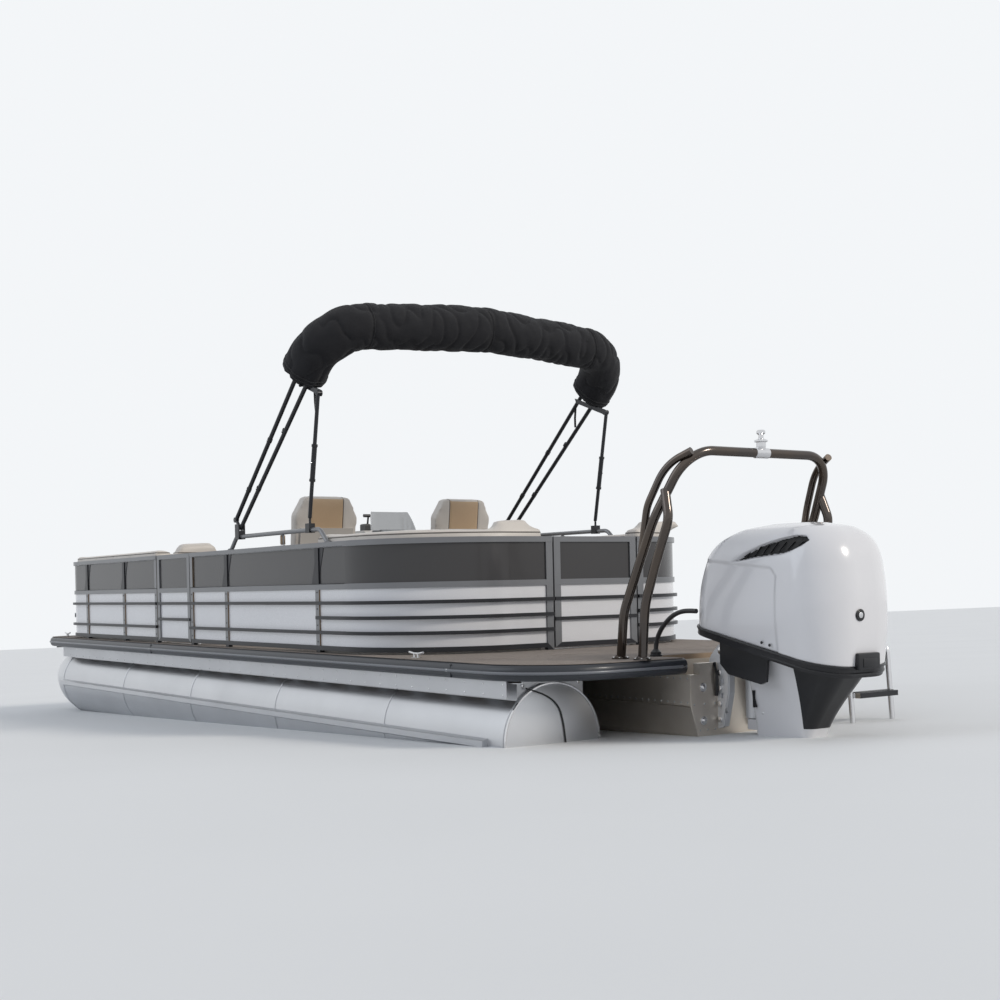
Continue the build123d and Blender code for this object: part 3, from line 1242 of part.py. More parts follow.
def bow_lamps():
    """Docking lamp and side light on each bow corner of the fence."""
    lamps = []
    centre_x = FENCE_FORE - FENCE_FORE_RADIUS
    face = FENCE_FORE_RADIUS - PANEL_INSET + SOFT_GAP
    for side in (1, -1):
        centre_y = side * (FENCE_Y - FENCE_FORE_RADIUS)
        turn = Pos(centre_x, centre_y, 0) * Rot(0, 0, side * LAMP_ANGLE)
        for z, width, height, depth in BOW_LAMPS:
            lamp = turn * block(face, face + depth + 8, -width / 2, width / 2, z - height / 2, z + height / 2)
            hollow = turn * upright(0, 0, face, 0, FAR)
            lamps.append(lamp - hollow)
    return lamps


# Steering and control hose beside the engine well: X, Y, Z
HOSE_ROUTE = [(-4186, 300, 612), (-4186, 300, 651), (-4206, 302, 701), (-4245, 304, 751),
              (-4312, 305, 805), (-4379, 304, 835), (-4450, 302, 845), (-4520, 300, 842)]
HOSE_DIAMETER = 26
# Transducer cable down the port stern cap: X, Y, Z
CABLE_ROUTE = [(-4066, 1106, 455), (-4070, 1057, 440), (-4075, 990, 416), (-4081, 934, 380),
               (-4086, 899, 334), (-4092, 881, 257), (-4095, 873, 181), (-4093, 864, 90),
               (-4088, 860, 10), (-4080, 858, -60)]
CABLE_DIAMETER = 8
CABLE_SEAT = 0.8


def corner_radii(route):
    """The largest radius that each corner of a cord's route allows."""
    radii = []
    for before, corner, after in zip(route, route[1:], route[2:]):
        incoming = Vector(*corner) - Vector(*before)
        outgoing = Vector(*after) - Vector(*corner)
        turn = radians(incoming.get_angle(outgoing))
        shorter = min(incoming.length, outgoing.length)
        radii.append(0.45 * shorter / tan(turn / 2))
    return radii


def cord(route, diameter):
    """A round cord along straight runs joined by the largest arcs that fit."""
    return bent_tube(route, corner_radii(route), diameter / 2)


def hose_gland():
    """The deck collar that the engine's hose comes out of."""
    x, y, z = HOSE_ROUTE[0]
    ring = upright(x, y, 26, DECK_TOP, z)
    return ring


def transducer():
    """The depth sensor and its bracket on the port stern cap."""
    x, y, z = CABLE_ROUTE[-1]
    top = z - CABLE_SEAT
    body = block(x - 40, x + 4.4, y - 26, y + 26, top - 34, top)
    return soften(body, top, 8)


NODES = {}
NODES["pontoon_port"] = pontoon(1)
NODES["pontoon_stbd"] = pontoon(-1)
NODES["deck_framing"] = cross_channels() + [saddle(1), saddle(-1)] + side_skirts()
NODES["deck_plate"] = deck_slab(RUB_RAIL_DEPTH, DECK_UNDER, DECK_TOP - COVERING_THICKNESS) - notch(0)
NODES["floor_covering"] = deck_slab(COVERING_INSET, DECK_TOP - COVERING_THICKNESS, DECK_TOP) - notch(10)
NODES["rub_rail"] = rub_rail()
NODES["motor_pod"] = motor_pod()
NODES["deck_fittings"] = [cleat(x, y) for x, y in CLEATS] + [hose_gland()] + ladder_mounts()
for run_name in FENCE_RUNS:
    NODES["fence_frame_" + run_name] = fence_frame(run_name)
NODES["lower_panels"] = fence_panels(PANEL_LOW, MID_RAIL_LOW)
NODES["upper_panels"] = fence_panels(MID_RAIL_TOP, TOP_RAIL_LOW)
for gate_name, gate_data in GATES.items():
    NODES[gate_name + "_frame"] = gate_frame(gate_data)
    NODES[gate_name + "_panels"] = gate_panels(gate_data)
NODES["gate_hinges"] = gate_hinges()
NODES["bow_lamps"] = bow_lamps()
NODES["raised_rails"] = raised_rails()
NODES["canopy_mounts"] = canopy_mounts()
NODES["canopy_bows"] = canopy_bows()
NODES["canopy_boot"] = canopy_boot()
NODES["canopy_strut_port"] = canopy_strut(1)
NODES["canopy_strut_stbd"] = canopy_strut(-1)
NODES["tow_bar"] = tow_bar()
NODES["tow_pylon"] = tow_pylon()
NODES["seat_bases"] = [seat_base(seat) for seat in SEATS.values()]
for seat_name, seat_data in SEATS.items():
    NODES["seat_lid_" + seat_name] = seat_lid(seat_data)
NODES["seat_corner_cushions"] = [seat_fixed(SEATS["aft_port"]), seat_fixed(SEATS["aft_stbd"])]
NODES["seat_backs_bow"] = [piece for name in ("bow_port", "bow_stbd")
                           for piece in (seat_back(SEATS[name]), lounge_back(SEATS[name]))]
NODES["seat_backs_aft"] = [seat_back(SEATS["aft_port"]) + headrest(*HEADRESTS[0]),
                           seat_back(SEATS["aft_stbd"]) + headrest(*HEADRESTS[1])]
NODES["helm_console"] = helm_console()
NODES["helm_dash"] = helm_dash()
NODES["helm_throttle"] = helm_throttle()
NODES["helm_windscreen"] = helm_windscreen()
NODES["helm_wheel"] = helm_wheel()
NODES["chair_pedestals"] = [chair_pedestal(HELM_CHAIR_Y), chair_pedestal(COMPANION_CHAIR_Y)]
for chair_name, chair_y in (("helm", HELM_CHAIR_Y), ("companion", COMPANION_CHAIR_Y)):
    NODES[chair_name + "_chair_frame"] = chair_frame(chair_y)
    NODES[chair_name + "_chair_cushions"] = chair_cushions(chair_y)
NODES["outboard_clamp"] = outboard_clamp()
NODES["outboard_swivel"] = outboard_swivel()
NODES["outboard_cowl"] = outboard_cowl()
NODES["outboard_apron"] = [outboard_apron(), outboard_accent()]
NODES["outboard_powerhead"] = outboard_powerhead()
NODES["outboard_midsection"] = outboard_midsection()
NODES["outboard_gearcase"] = outboard_gearcase()
NODES["propeller"] = propeller()
NODES["control_hose"] = cord(HOSE_ROUTE, HOSE_DIAMETER)
NODES["transducer_cable"] = cord(CABLE_ROUTE, CABLE_DIAMETER)
NODES["transducer"] = transducer()
NODES["ladder"] = ladder()

for node_name, node_shape in NODES.items():
    save(node_name, node_shape)
print("control_hose radii in mm:", [round(radius) for radius in corner_radii(HOSE_ROUTE)])
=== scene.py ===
"""Finishes, upholstery, canopy boot, engine cover and fittings of the pontoon boat."""
import math

import bmesh
import bpy
import numpy as np
from mathutils import Matrix, Vector, noise
from mathutils.bvhtree import BVHTree


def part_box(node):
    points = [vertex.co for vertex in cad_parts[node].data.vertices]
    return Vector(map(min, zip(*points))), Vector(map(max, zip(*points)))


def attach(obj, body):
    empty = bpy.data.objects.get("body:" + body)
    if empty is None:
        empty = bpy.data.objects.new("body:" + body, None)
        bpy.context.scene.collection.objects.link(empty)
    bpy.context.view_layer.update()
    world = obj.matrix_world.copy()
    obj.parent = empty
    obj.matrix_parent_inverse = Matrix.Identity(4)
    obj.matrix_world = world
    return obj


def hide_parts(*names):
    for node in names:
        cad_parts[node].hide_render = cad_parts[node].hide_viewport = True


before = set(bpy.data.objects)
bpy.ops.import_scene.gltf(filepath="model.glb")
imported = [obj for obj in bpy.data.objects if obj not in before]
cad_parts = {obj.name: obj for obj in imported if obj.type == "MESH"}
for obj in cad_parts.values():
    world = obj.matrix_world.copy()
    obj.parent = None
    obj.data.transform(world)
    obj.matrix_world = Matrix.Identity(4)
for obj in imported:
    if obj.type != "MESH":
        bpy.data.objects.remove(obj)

scene = bpy.context.scene
UP = (0.0, 0.0, 1.0)
FORE = (1.0, 0.0, 0.0)
PORT = (0.0, 1.0, 0.0)
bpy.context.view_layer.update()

# Places taken from the solids, in metres
DECK = 0.590
RAIL_TOP = 1.303
FENCE_SIDE = 1.215
FENCE_BOW = 3.360
FENCE_STERN = -3.030
TUBE_CENTRE = 0.930
TUBE_HEIGHT = 0.160
TUBE_RADIUS = 0.3175
TUBE_AFT = -4.060
SEAT_TOP = 1.020
PART_LINE_FORE = 0.775
PART_LINE_AFT = 0.560
COWL_FORE = -4.440
COWL_AFT = -5.425
TRIM = math.radians(2.13)
GRAB_RAIL_SIDE = 1.199
CANOPY_PIVOT_X, CANOPY_PIVOT_Z = -0.690, 1.462
CANOPY_RAKE = math.radians(42)
HELM_CHAIR, COMPANION_CHAIR = (-0.45, -0.70), (-0.45, 0.52)
LADDER_RAILS = (-0.760, -1.100)
BOOT_SEAMS = (0.92, 0.02, -0.90)
INSET_HALF = 0.135
WELD = 0.00005
TRIM_RAILS = (0.721, 0.816, 0.911)


# ---- finishes: each is a node tree on Object coordinates ----
FINISHES = {}


def link(tree, source, target):
    tree.links.new(source, target)


def grain_height(tree, kind, coords, scale, detail):
    """The height pattern of a finish: noise, brushed lines, weave, hide cells or ribs."""
    mapping = tree.nodes.new("ShaderNodeMapping")
    mapping.inputs["Scale"].default_value = scale
    link(tree, coords, mapping.inputs["Vector"])
    if kind == "weave":
        waves = []
        for direction in ("X", "Y"):
            wave = tree.nodes.new("ShaderNodeTexWave")
            wave.bands_direction = direction
            wave.inputs["Scale"].default_value = 1.0
            wave.inputs["Distortion"].default_value = 0.6
            wave.inputs["Detail"].default_value = 1.0
            link(tree, mapping.outputs["Vector"], wave.inputs["Vector"])
            waves.append(wave)
        both = tree.nodes.new("ShaderNodeMath")
        both.operation = "MULTIPLY"
        link(tree, waves[0].outputs["Fac"], both.inputs[0])
        link(tree, waves[1].outputs["Fac"], both.inputs[1])
        return both.outputs[0]
    if kind == "hide":
        cells = tree.nodes.new("ShaderNodeTexVoronoi")
        cells.feature = "SMOOTH_F1"
        cells.inputs["Scale"].default_value = 1.0
        link(tree, mapping.outputs["Vector"], cells.inputs["Vector"])
        return cells.outputs["Distance"]
    if kind == "ribs":
        wave = tree.nodes.new("ShaderNodeTexWave")
        wave.bands_direction = "Y"
        wave.inputs["Scale"].default_value = 1.0
        link(tree, mapping.outputs["Vector"], wave.inputs["Vector"])
        return wave.outputs["Fac"]
    speckle = tree.nodes.new("ShaderNodeTexNoise")
    speckle.inputs["Scale"].default_value = 1.0
    speckle.inputs["Detail"].default_value = detail
    link(tree, mapping.outputs["Vector"], speckle.inputs["Vector"])
    return speckle.outputs["Fac"]


def finish(name, colour, rough, metal=0.0, coat=0.0, sheen=0.0, second=None, patch=3.0, kind="noise",
        scale=(400, 400, 400), detail=3.0, bump=0.2, depth=0.0004, grain_colour=0.0, alpha=1.0,
        rough_spread=0.08, clear=0.0, shine=0.5):
    """A finish whose colour and roughness wander, with a fine grain in relief."""
    made = bpy.data.materials.new(name)
    made.use_nodes = True
    tree = made.node_tree
    shader = tree.nodes["Principled BSDF"]
    shader.inputs["Metallic"].default_value = metal
    shader.inputs["Coat Weight"].default_value = coat
    shader.inputs["Specular IOR Level"].default_value = shine
    shader.inputs["Coat Roughness"].default_value = 0.06
    shader.inputs["Sheen Weight"].default_value = sheen
    shader.inputs["Alpha"].default_value = alpha
    shader.inputs["Transmission Weight"].default_value = clear
    coords = tree.nodes.new("ShaderNodeTexCoord").outputs["Object"]
    second = second or tuple(min(1.0, c * 0.84) for c in colour)
    broad = tree.nodes.new("ShaderNodeTexNoise")
    broad.inputs["Scale"].default_value = patch
    broad.inputs["Detail"].default_value = 4.0
    link(tree, coords, broad.inputs["Vector"])
    blend = tree.nodes.new("ShaderNodeMix")
    blend.data_type = "RGBA"
    blend.inputs[6].default_value = (*colour, 1.0)
    blend.inputs[7].default_value = (*second, 1.0)
    link(tree, broad.outputs["Fac"], blend.inputs[0])
    height = grain_height(tree, kind, coords, scale, detail)
    result = blend.outputs[2]
    if grain_colour:
        darker = tree.nodes.new("ShaderNodeMix")
        darker.data_type = "RGBA"
        darker.blend_type = "MULTIPLY"
        darker.inputs[7].default_value = (1.0 - grain_colour,) * 3 + (1.0,)
        link(tree, height, darker.inputs[0])
        link(tree, result, darker.inputs[6])
        result = darker.outputs[2]
    link(tree, result, shader.inputs["Base Color"])
    spread = tree.nodes.new("ShaderNodeMapRange")
    spread.inputs["To Min"].default_value = max(0.02, rough - rough_spread)
    spread.inputs["To Max"].default_value = min(1.0, rough + rough_spread)
    link(tree, height, spread.inputs["Value"])
    link(tree, spread.outputs["Result"], shader.inputs["Roughness"])
    relief = tree.nodes.new("ShaderNodeBump")
    relief.inputs["Strength"].default_value = bump
    relief.inputs["Distance"].default_value = depth
    link(tree, height, relief.inputs["Height"])
    link(tree, relief.outputs["Normal"], shader.inputs["Normal"])
    FINISHES[name] = made
    return made


finish("tube_aluminium", (0.62, 0.63, 0.65), 0.34, metal=0.9, second=(0.50, 0.51, 0.53), patch=2.2,
    scale=(6, 520, 520), detail=2.0, bump=0.25, depth=0.0003)
finish("plate_aluminium", (0.66, 0.62, 0.56), 0.38, metal=0.85, second=(0.48, 0.43, 0.38), patch=5.0,
    scale=(300, 300, 9), bump=0.25, depth=0.0003)
finish("frame_aluminium", (0.55, 0.56, 0.58), 0.42, metal=0.8, scale=(420, 420, 420))
finish("deck_board", (0.36, 0.27, 0.19), 0.75, scale=(8, 160, 160), bump=0.4, depth=0.0008)
finish("floor_weave", (0.33, 0.285, 0.25), 0.85, second=(0.25, 0.215, 0.19), kind="weave",
    scale=(210, 210, 210), bump=0.7, depth=0.0012, grain_colour=0.45, patch=6.0)
finish("bumper_rubber", (0.030, 0.034, 0.042), 0.36, coat=0.12, scale=(160, 160, 160), bump=0.12, shine=0.35)
# Painted highlight: the lighter grey of the strip laid along the rub rail where its highlight runs
finish("bumper_insert", (0.15, 0.16, 0.18), 0.30, coat=0.15, scale=(90, 300, 300), bump=0.1)
finish("rail_grey", (0.19, 0.195, 0.205), 0.32, metal=0.5, coat=0.12, scale=(30, 420, 420), bump=0.12)
finish("trim_black", (0.018, 0.019, 0.023), 0.38, coat=0.08, scale=(380, 380, 380), bump=0.1, shine=0.3)
# Painted highlight: the warm bronze of low sun on the fence uprights, set as a colour
finish("post_bronze", (0.26, 0.185, 0.115), 0.30, metal=0.75, coat=0.1, second=(0.16, 0.125, 0.09),
    scale=(420, 420, 12), bump=0.12)
finish("panel_white", (0.70, 0.705, 0.725), 0.26, coat=0.5, second=(0.63, 0.64, 0.67), patch=1.1,
    scale=(260, 260, 260), bump=0.04, depth=0.0002)
finish("panel_charcoal", (0.062, 0.060, 0.060), 0.22, coat=0.12, second=(0.034, 0.033, 0.035), patch=0.8,
    scale=(320, 320, 320), bump=0.05, depth=0.0002, shine=0.35)
finish("bright_steel", (0.72, 0.72, 0.73), 0.16, metal=1.0, second=(0.60, 0.60, 0.61), scale=(300, 300, 300),
    bump=0.05, rough_spread=0.05)
# Painted highlight: the bronze second tone, laid in broad patches, stands for warm light glinting on the dark
# steel
finish("tow_steel", (0.075, 0.075, 0.080), 0.18, metal=1.0, second=(0.125, 0.095, 0.070), patch=4.0,
    scale=(260, 260, 260), bump=0.06, rough_spread=0.05)
finish("canopy_black", (0.018, 0.019, 0.023), 0.32, metal=0.2, coat=0.12, scale=(500, 500, 500), bump=0.08,
    shine=0.35)
finish("boot_canvas", (0.010, 0.0105, 0.013), 0.85, sheen=0.06, second=(0.016, 0.016, 0.018), kind="weave",
    scale=(330, 330, 330), bump=0.45, depth=0.0008, patch=7.0, shine=0.2)
finish("webbing_black", (0.012, 0.012, 0.014), 0.85, sheen=0.1, kind="ribs", scale=(500, 500, 500), bump=0.6,
    depth=0.0008)
finish("shell_grey", (0.50, 0.475, 0.44), 0.55, scale=(340, 340, 340), bump=0.35, depth=0.0005)
finish("vinyl_warm_grey", (0.64, 0.60, 0.55), 0.46, sheen=0.15, second=(0.56, 0.525, 0.48), kind="hide",
    scale=(260, 260, 260), bump=0.30, depth=0.0006, patch=4.0, grain_colour=0.10)
finish("vinyl_tan", (0.56, 0.40, 0.25), 0.48, sheen=0.15, second=(0.47, 0.33, 0.20), kind="hide",
    scale=(240, 240, 240), bump=0.35, depth=0.0006, grain_colour=0.12)
finish("piping_dark", (0.16, 0.145, 0.13), 0.5, scale=(300, 300, 300), bump=0.2)
finish("console_gloss", (0.52, 0.50, 0.47), 0.26, coat=0.5, second=(0.47, 0.45, 0.42), scale=(300, 300, 300),
    bump=0.06)
finish("dash_black", (0.026, 0.027, 0.030), 0.42, scale=(520, 520, 520), bump=0.35, depth=0.0004)
finish("dial_face", (0.06, 0.065, 0.07), 0.25, coat=0.8, scale=(300, 300, 300), bump=0.02)
finish("dial_mark", (0.85, 0.86, 0.84), 0.4, scale=(300, 300, 300), bump=0.02)
finish("screen_glass", (0.015, 0.02, 0.03), 0.08, coat=1.0, second=(0.02, 0.03, 0.045), scale=(50, 50, 50),
    bump=0.01, rough_spread=0.02)
finish("smoked_screen", (0.10, 0.11, 0.12), 0.05, coat=1.0, alpha=0.45, scale=(40, 40, 40), bump=0.01,
    rough_spread=0.02)
finish("cowl_pearl", (0.70, 0.70, 0.715), 0.22, coat=0.7, second=(0.655, 0.66, 0.685), patch=1.6,
    scale=(700, 700, 700), bump=0.03, depth=0.0001)
finish("engine_black", (0.013, 0.0135, 0.016), 0.34, coat=0.12, scale=(420, 420, 420), bump=0.2, shine=0.35)
finish("intake_mesh", (0.012, 0.012, 0.013), 0.6, kind="weave", scale=(160, 160, 160), bump=0.8, depth=0.002)
finish("bracket_silver", (0.66, 0.67, 0.69), 0.38, metal=0.35, coat=0.4, second=(0.57, 0.58, 0.60),
    scale=(330, 330, 330), bump=0.3, depth=0.0006)
finish("propeller_steel", (0.62, 0.61, 0.60), 0.20, metal=1.0, scale=(180, 180, 180), bump=0.12)
finish("hose_black", (0.022, 0.022, 0.024), 0.5, scale=(300, 300, 300), bump=0.2)
finish("lamp_clear", (0.80, 0.83, 0.86), 0.06, coat=1.0, scale=(60, 60, 60), bump=0.02, clear=0.4)
finish("lamp_green", (0.02, 0.30, 0.12), 0.10, coat=1.0, scale=(60, 60, 60), bump=0.02)
finish("lamp_red", (0.42, 0.02, 0.02), 0.10, coat=1.0, scale=(60, 60, 60), bump=0.02)
finish("zinc_grey", (0.45, 0.46, 0.47), 0.6, metal=0.6, scale=(200, 200, 200), bump=0.5, depth=0.0006)

CAD_FINISHES = {"tube_aluminium": ["pontoon_port", "pontoon_stbd"], "frame_aluminium": ["deck_framing"],
    "deck_board": ["deck_plate"], "floor_weave": ["floor_covering"],
    "bumper_rubber": ["rub_rail", "transducer"], "plate_aluminium": ["motor_pod"],
    "bright_steel": ["deck_fittings", "gate_hinges", "tow_pylon", "chair_pedestals", "ladder"],
    "rail_grey": ["fence_frame_port_fore", "fence_frame_port_aft", "fence_frame_stbd", "gate_port_frame",
    "gate_stern_frame", "gate_bow_frame", "raised_rails"],
    "panel_white": ["lower_panels", "gate_port_panels", "gate_stern_panels", "gate_bow_panels"],
    "panel_charcoal": ["upper_panels"], "lamp_clear": ["bow_lamps"],
    "canopy_black": ["canopy_mounts", "canopy_bows", "canopy_strut_port", "canopy_strut_stbd"],
    "tow_steel": ["tow_bar"], "shell_grey": ["seat_bases", "helm_chair_frame", "companion_chair_frame"],
    "console_gloss": ["helm_console"], "dash_black": ["helm_dash", "helm_throttle", "helm_wheel"],
    "smoked_screen": ["helm_windscreen"], "bracket_silver": ["outboard_clamp", "outboard_swivel",
    "outboard_powerhead", "outboard_gearcase"], "cowl_pearl": ["outboard_midsection"],
    "engine_black": ["outboard_apron"], "propeller_steel": ["propeller"],
    "hose_black": ["transducer_cable", "control_hose"], "vinyl_warm_grey": ["seat_lid_bow_port",
    "seat_lid_bow_stbd", "seat_lid_aft_port", "seat_lid_aft_stbd", "seat_corner_cushions", "seat_backs_bow",
    "seat_backs_aft", "helm_chair_cushions", "companion_chair_cushions"], "boot_canvas": ["canopy_boot"], }


def dress(node, material):
    """Gives a solid one finish all over."""
    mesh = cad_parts[node].data
    mesh.materials.clear()
    mesh.materials.append(FINISHES[material])


for material_name, node_names in CAD_FINISHES.items():
    for node_name in node_names:
        dress(node_name, material_name)
dress("outboard_cowl", "cowl_pearl")


def mark_faces(node, material, choose):
    """Gives the faces of a solid that choose picks, by centre and normal, another finish."""
    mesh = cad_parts[node].data
    mesh.materials.append(FINISHES[material])
    number = len(mesh.materials) - 1
    for face in mesh.polygons:
        if choose(face.center, face.normal):
            face.material_index = number


# ---- shapes: lists of corners and faces, gathered into one piece ----
def plate(low, high, edge=0.002):
    """A block with its edges broken."""
    low, high = Vector(low), Vector(high)
    bm = bmesh.new()
    bmesh.ops.create_cube(bm, size=1.0)
    for corner in bm.verts:
        for axis in range(3):
            corner.co[axis] = (low[axis] + high[axis]) / 2 + corner.co[axis] * abs(high[axis] - low[axis])
    if edge:
        bmesh.ops.bevel(bm, geom=bm.edges[:], offset=edge, segments=2, profile=0.6, affect="EDGES")
    bm.verts.index_update()
    made = ([v.co.copy() for v in bm.verts], [[v.index for v in f.verts] for f in bm.faces])
    bm.free()
    return made


def face_out(mesh, weld=0.0):
    """Faces turned outward, with near corners joined first where weld is given."""
    bm = bmesh.new()
    bm.from_mesh(mesh)
    if weld:
        bmesh.ops.remove_doubles(bm, verts=bm.verts, dist=weld)
    bmesh.ops.recalc_face_normals(bm, faces=bm.faces)
    bm.to_mesh(mesh)
    bm.free()


def placed(name, mesh):
    """A new object in the scene."""
    made = bpy.data.objects.new(name, mesh)
    scene.collection.objects.link(made)
    return made


def rows_of(mesh, what):
    """The places or normals of a mesh's corners, one to a row."""
    values = np.zeros(len(mesh.vertices) * 3)
    mesh.vertices.foreach_get(what, values)
    return values.reshape(-1, 3)


def square_to(direction):
    """Two unit vectors square to a direction and to each other."""
    direction = Vector(direction).normalized()
    helper = Vector((0, 0, 1)) if abs(direction.z) < 0.9 else Vector((1, 0, 0))
    side = direction.cross(helper).normalized()
    return side, side.cross(direction).normalized()


def bar(points, radius, sides=12, closed=False, squash=1.0):
    """A round bar along a line of points; radius may be one for each point."""
    points = [Vector(p) for p in points]
    count = len(points)
    radii = radius if isinstance(radius, (list, tuple)) else [radius] * count
    side, up = None, None
    verts, faces = [], []
    for i, point in enumerate(points):
        before = points[i - 1] if i or closed else points[0]
        after = points[(i + 1) % count] if i < count - 1 or closed else points[-1]
        along = (after - before).normalized()
        if side is None:
            side, up = square_to(along)
        else:
            side = (side - along * side.dot(along)).normalized()
            up = along.cross(side).normalized()
        for k in range(sides):
            a = 2 * math.pi * k / sides
            verts.append(point + (side * math.cos(a) + up * math.sin(a) * squash) * radii[i])
    spans = count if closed else count - 1
    for i in range(spans):
        for k in range(sides):
            a, b = i * sides + k, i * sides + (k + 1) % sides
            c, d = ((i + 1) % count) * sides + (k + 1) % sides, ((i + 1) % count) * sides + k
            faces.append([a, b, c, d])
    if not closed:
        faces.append(list(range(sides))[::-1])
        faces.append([(count - 1) * sides + k for k in range(sides)])
    return verts, faces


def turned(profile, origin, direction, sides=32):
    """A lathe-turned form: profile gives distance along the direction and radius."""
    side, up = square_to(direction)
    direction = Vector(direction).normalized()
    origin = Vector(origin)
    verts, faces = [], []
    for along, radius in profile:
        for k in range(sides):
            a = 2 * math.pi * k / sides
            verts.append(origin + direction * along + (side * math.cos(a) + up * math.sin(a)) * radius)
    for i in range(len(profile) - 1):
        for k in range(sides):
            a, b = i * sides + k, i * sides + (k + 1) % sides
            faces.append([a, b, b + sides, a + sides])
    faces.append(list(range(sides))[::-1])
    faces.append([(len(profile) - 1) * sides + k for k in range(sides)])
    return verts, faces


def slab(outline, thickness, normal):
    """A flat outline given thickness along a direction."""
    outline = [Vector(p) for p in outline]
    shift = Vector(normal).normalized() * thickness
    count = len(outline)
    verts = outline + [p + shift for p in outline]
    faces = [list(range(count))[::-1], [count + k for k in range(count)]]
    for k in range(count):
        n = (k + 1) % count
        faces.append([k, n, count + n, count + k])
    return verts, faces


def screw(place, normal, radius=0.006, rise=0.003):
    """A low domed screw head."""
    steps = [(-0.001, radius), (rise * 0.3, radius), (rise * 0.75, radius * 0.75), (rise, radius * 0.3),
        (rise * 0.55, radius * 0.22)]
    return turned(steps, place, normal, 12)


def piece(name, body, parts, sharp=32.0):
    """One object from a list of (finish, shape) pairs, riding on a body."""
    mesh = bpy.data.meshes.new(name)
    verts, faces, marks = [], [], []
    slots = []
    for material, shape in parts:
        if material not in slots:
            slots.append(material)
        start = len(verts)
        verts += [tuple(v) for v in shape[0]]
        faces += [[start + k for k in face] for face in shape[1]]
        marks += [slots.index(material)] * len(shape[1])
    mesh.from_pydata(verts, [], faces)
    for material in slots:
        mesh.materials.append(FINISHES[material])
    mesh.polygons.foreach_set("material_index", marks)
    face_out(mesh)
    mesh.shade_smooth()
    mesh.set_sharp_from_angle(angle=math.radians(sharp))
    made = placed(name, mesh)
    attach(made, body)
    return made


def welded(node, name):
    """A copy of a solid's mesh with its loose triangles joined."""
    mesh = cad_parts[node].data.copy()
    mesh.name = name
    mesh.materials.clear()
    face_out(mesh, WELD)
    return placed(name, mesh)


def settle(made):
    """Applies an object's modifiers to its mesh."""
    evaluated = made.evaluated_get(bpy.context.evaluated_depsgraph_get())
    mesh = bpy.data.meshes.new_from_object(evaluated)
    made.modifiers.clear()
    old = made.data
    made.data = mesh
    bpy.data.meshes.remove(old)
    return made


def cut_loops(made, place, normal, spacing=0.03):
    """The closed lines in which a plane cuts an object, as evenly spaced points."""
    bm = bmesh.new()
    bm.from_mesh(made.data)
    bmesh.ops.remove_doubles(bm, verts=bm.verts, dist=WELD)
    cut = bmesh.ops.bisect_plane(bm, geom=bm.verts[:] + bm.edges[:] + bm.faces[:], plane_co=place,
        plane_no=normal, clear_inner=True)
    edges = [e for e in cut["geom_cut"] if isinstance(e, bmesh.types.BMEdge)]
    touching = {}
    for edge in edges:
        for corner in edge.verts:
            touching.setdefault(corner, []).append(edge)
    loops, used = [], set()
    for first in edges:
        if first in used:
            continue
        used.add(first)
        line = [first.verts[0], first.verts[1]]
        while True:
            onward = [e for e in touching[line[-1]] if e not in used]
            if not onward:
                break
            used.add(onward[0])
            line.append(onward[0].other_vert(line[-1]))
        points = [v.co.copy() for v in line]
        if (points[0] - points[-1]).length < 0.002 and len(points) > 8:
            loops.append(spread_out(points, spacing))
    bm.free()
    return loops


def spread_out(points, spacing):
    """Points at an even spacing along a closed line."""
    lengths = [0.0]
    for a, b in zip(points, points[1:]):
        lengths.append(lengths[-1] + (b - a).length)
    count = max(8, int(lengths[-1] / spacing))
    result, k = [], 0
    for i in range(count):
        goal = lengths[-1] * i / count
        while lengths[k + 1] < goal:
            k += 1
        span = max(1e-9, lengths[k + 1] - lengths[k])
        result.append(points[k].lerp(points[k + 1], (goal - lengths[k]) / span))
    return result


# ---- things that repeat along a line, by geometry nodes ----
def repeat_tree():
    """A tree that sets one small shape along lines, standing square to them."""
    tree = bpy.data.node_groups.new("set_along_line", "GeometryNodeTree")
    sockets = tree.interface
    sockets.new_socket("Geometry", in_out="INPUT", socket_type="NodeSocketGeometry")
    sockets.new_socket("Shape", in_out="INPUT", socket_type="NodeSocketObject")
    sockets.new_socket("Spacing", in_out="INPUT", socket_type="NodeSocketFloat")
    sockets.new_socket("Finish", in_out="INPUT", socket_type="NodeSocketMaterial")
    sockets.new_socket("Geometry", in_out="OUTPUT", socket_type="NodeSocketGeometry")
    given = tree.nodes.new("NodeGroupInput")
    result = tree.nodes.new("NodeGroupOutput")
    to_curve = tree.nodes.new("GeometryNodeMeshToCurve")
    even = tree.nodes.new("GeometryNodeResampleCurve")
    even.mode = "LENGTH"
    facing = tree.nodes.new("GeometryNodeInputNamedAttribute")
    facing.data_type = "FLOAT_VECTOR"
    facing.inputs["Name"].default_value = "facing"
    turn = tree.nodes.new("FunctionNodeAlignRotationToVector")
    turn.axis = "Z"
    shape = tree.nodes.new("GeometryNodeObjectInfo")
    place = tree.nodes.new("GeometryNodeInstanceOnPoints")
    real = tree.nodes.new("GeometryNodeRealizeInstances")
    coat = tree.nodes.new("GeometryNodeSetMaterial")
    link(tree, given.outputs["Geometry"], to_curve.inputs["Mesh"])
    link(tree, to_curve.outputs["Curve"], even.inputs["Curve"])
    link(tree, given.outputs["Spacing"], even.inputs["Length"])
    link(tree, even.outputs["Curve"], place.inputs["Points"])
    link(tree, given.outputs["Shape"], shape.inputs["Object"])
    link(tree, shape.outputs["Geometry"], place.inputs["Instance"])
    link(tree, facing.outputs["Attribute"], turn.inputs["Vector"])
    link(tree, turn.outputs["Rotation"], place.inputs["Rotation"])
    link(tree, place.outputs["Instances"], real.inputs["Geometry"])
    link(tree, real.outputs["Geometry"], coat.inputs["Geometry"])
    link(tree, given.outputs["Finish"], coat.inputs["Material"])
    link(tree, coat.outputs["Geometry"], result.inputs["Geometry"])
    return tree


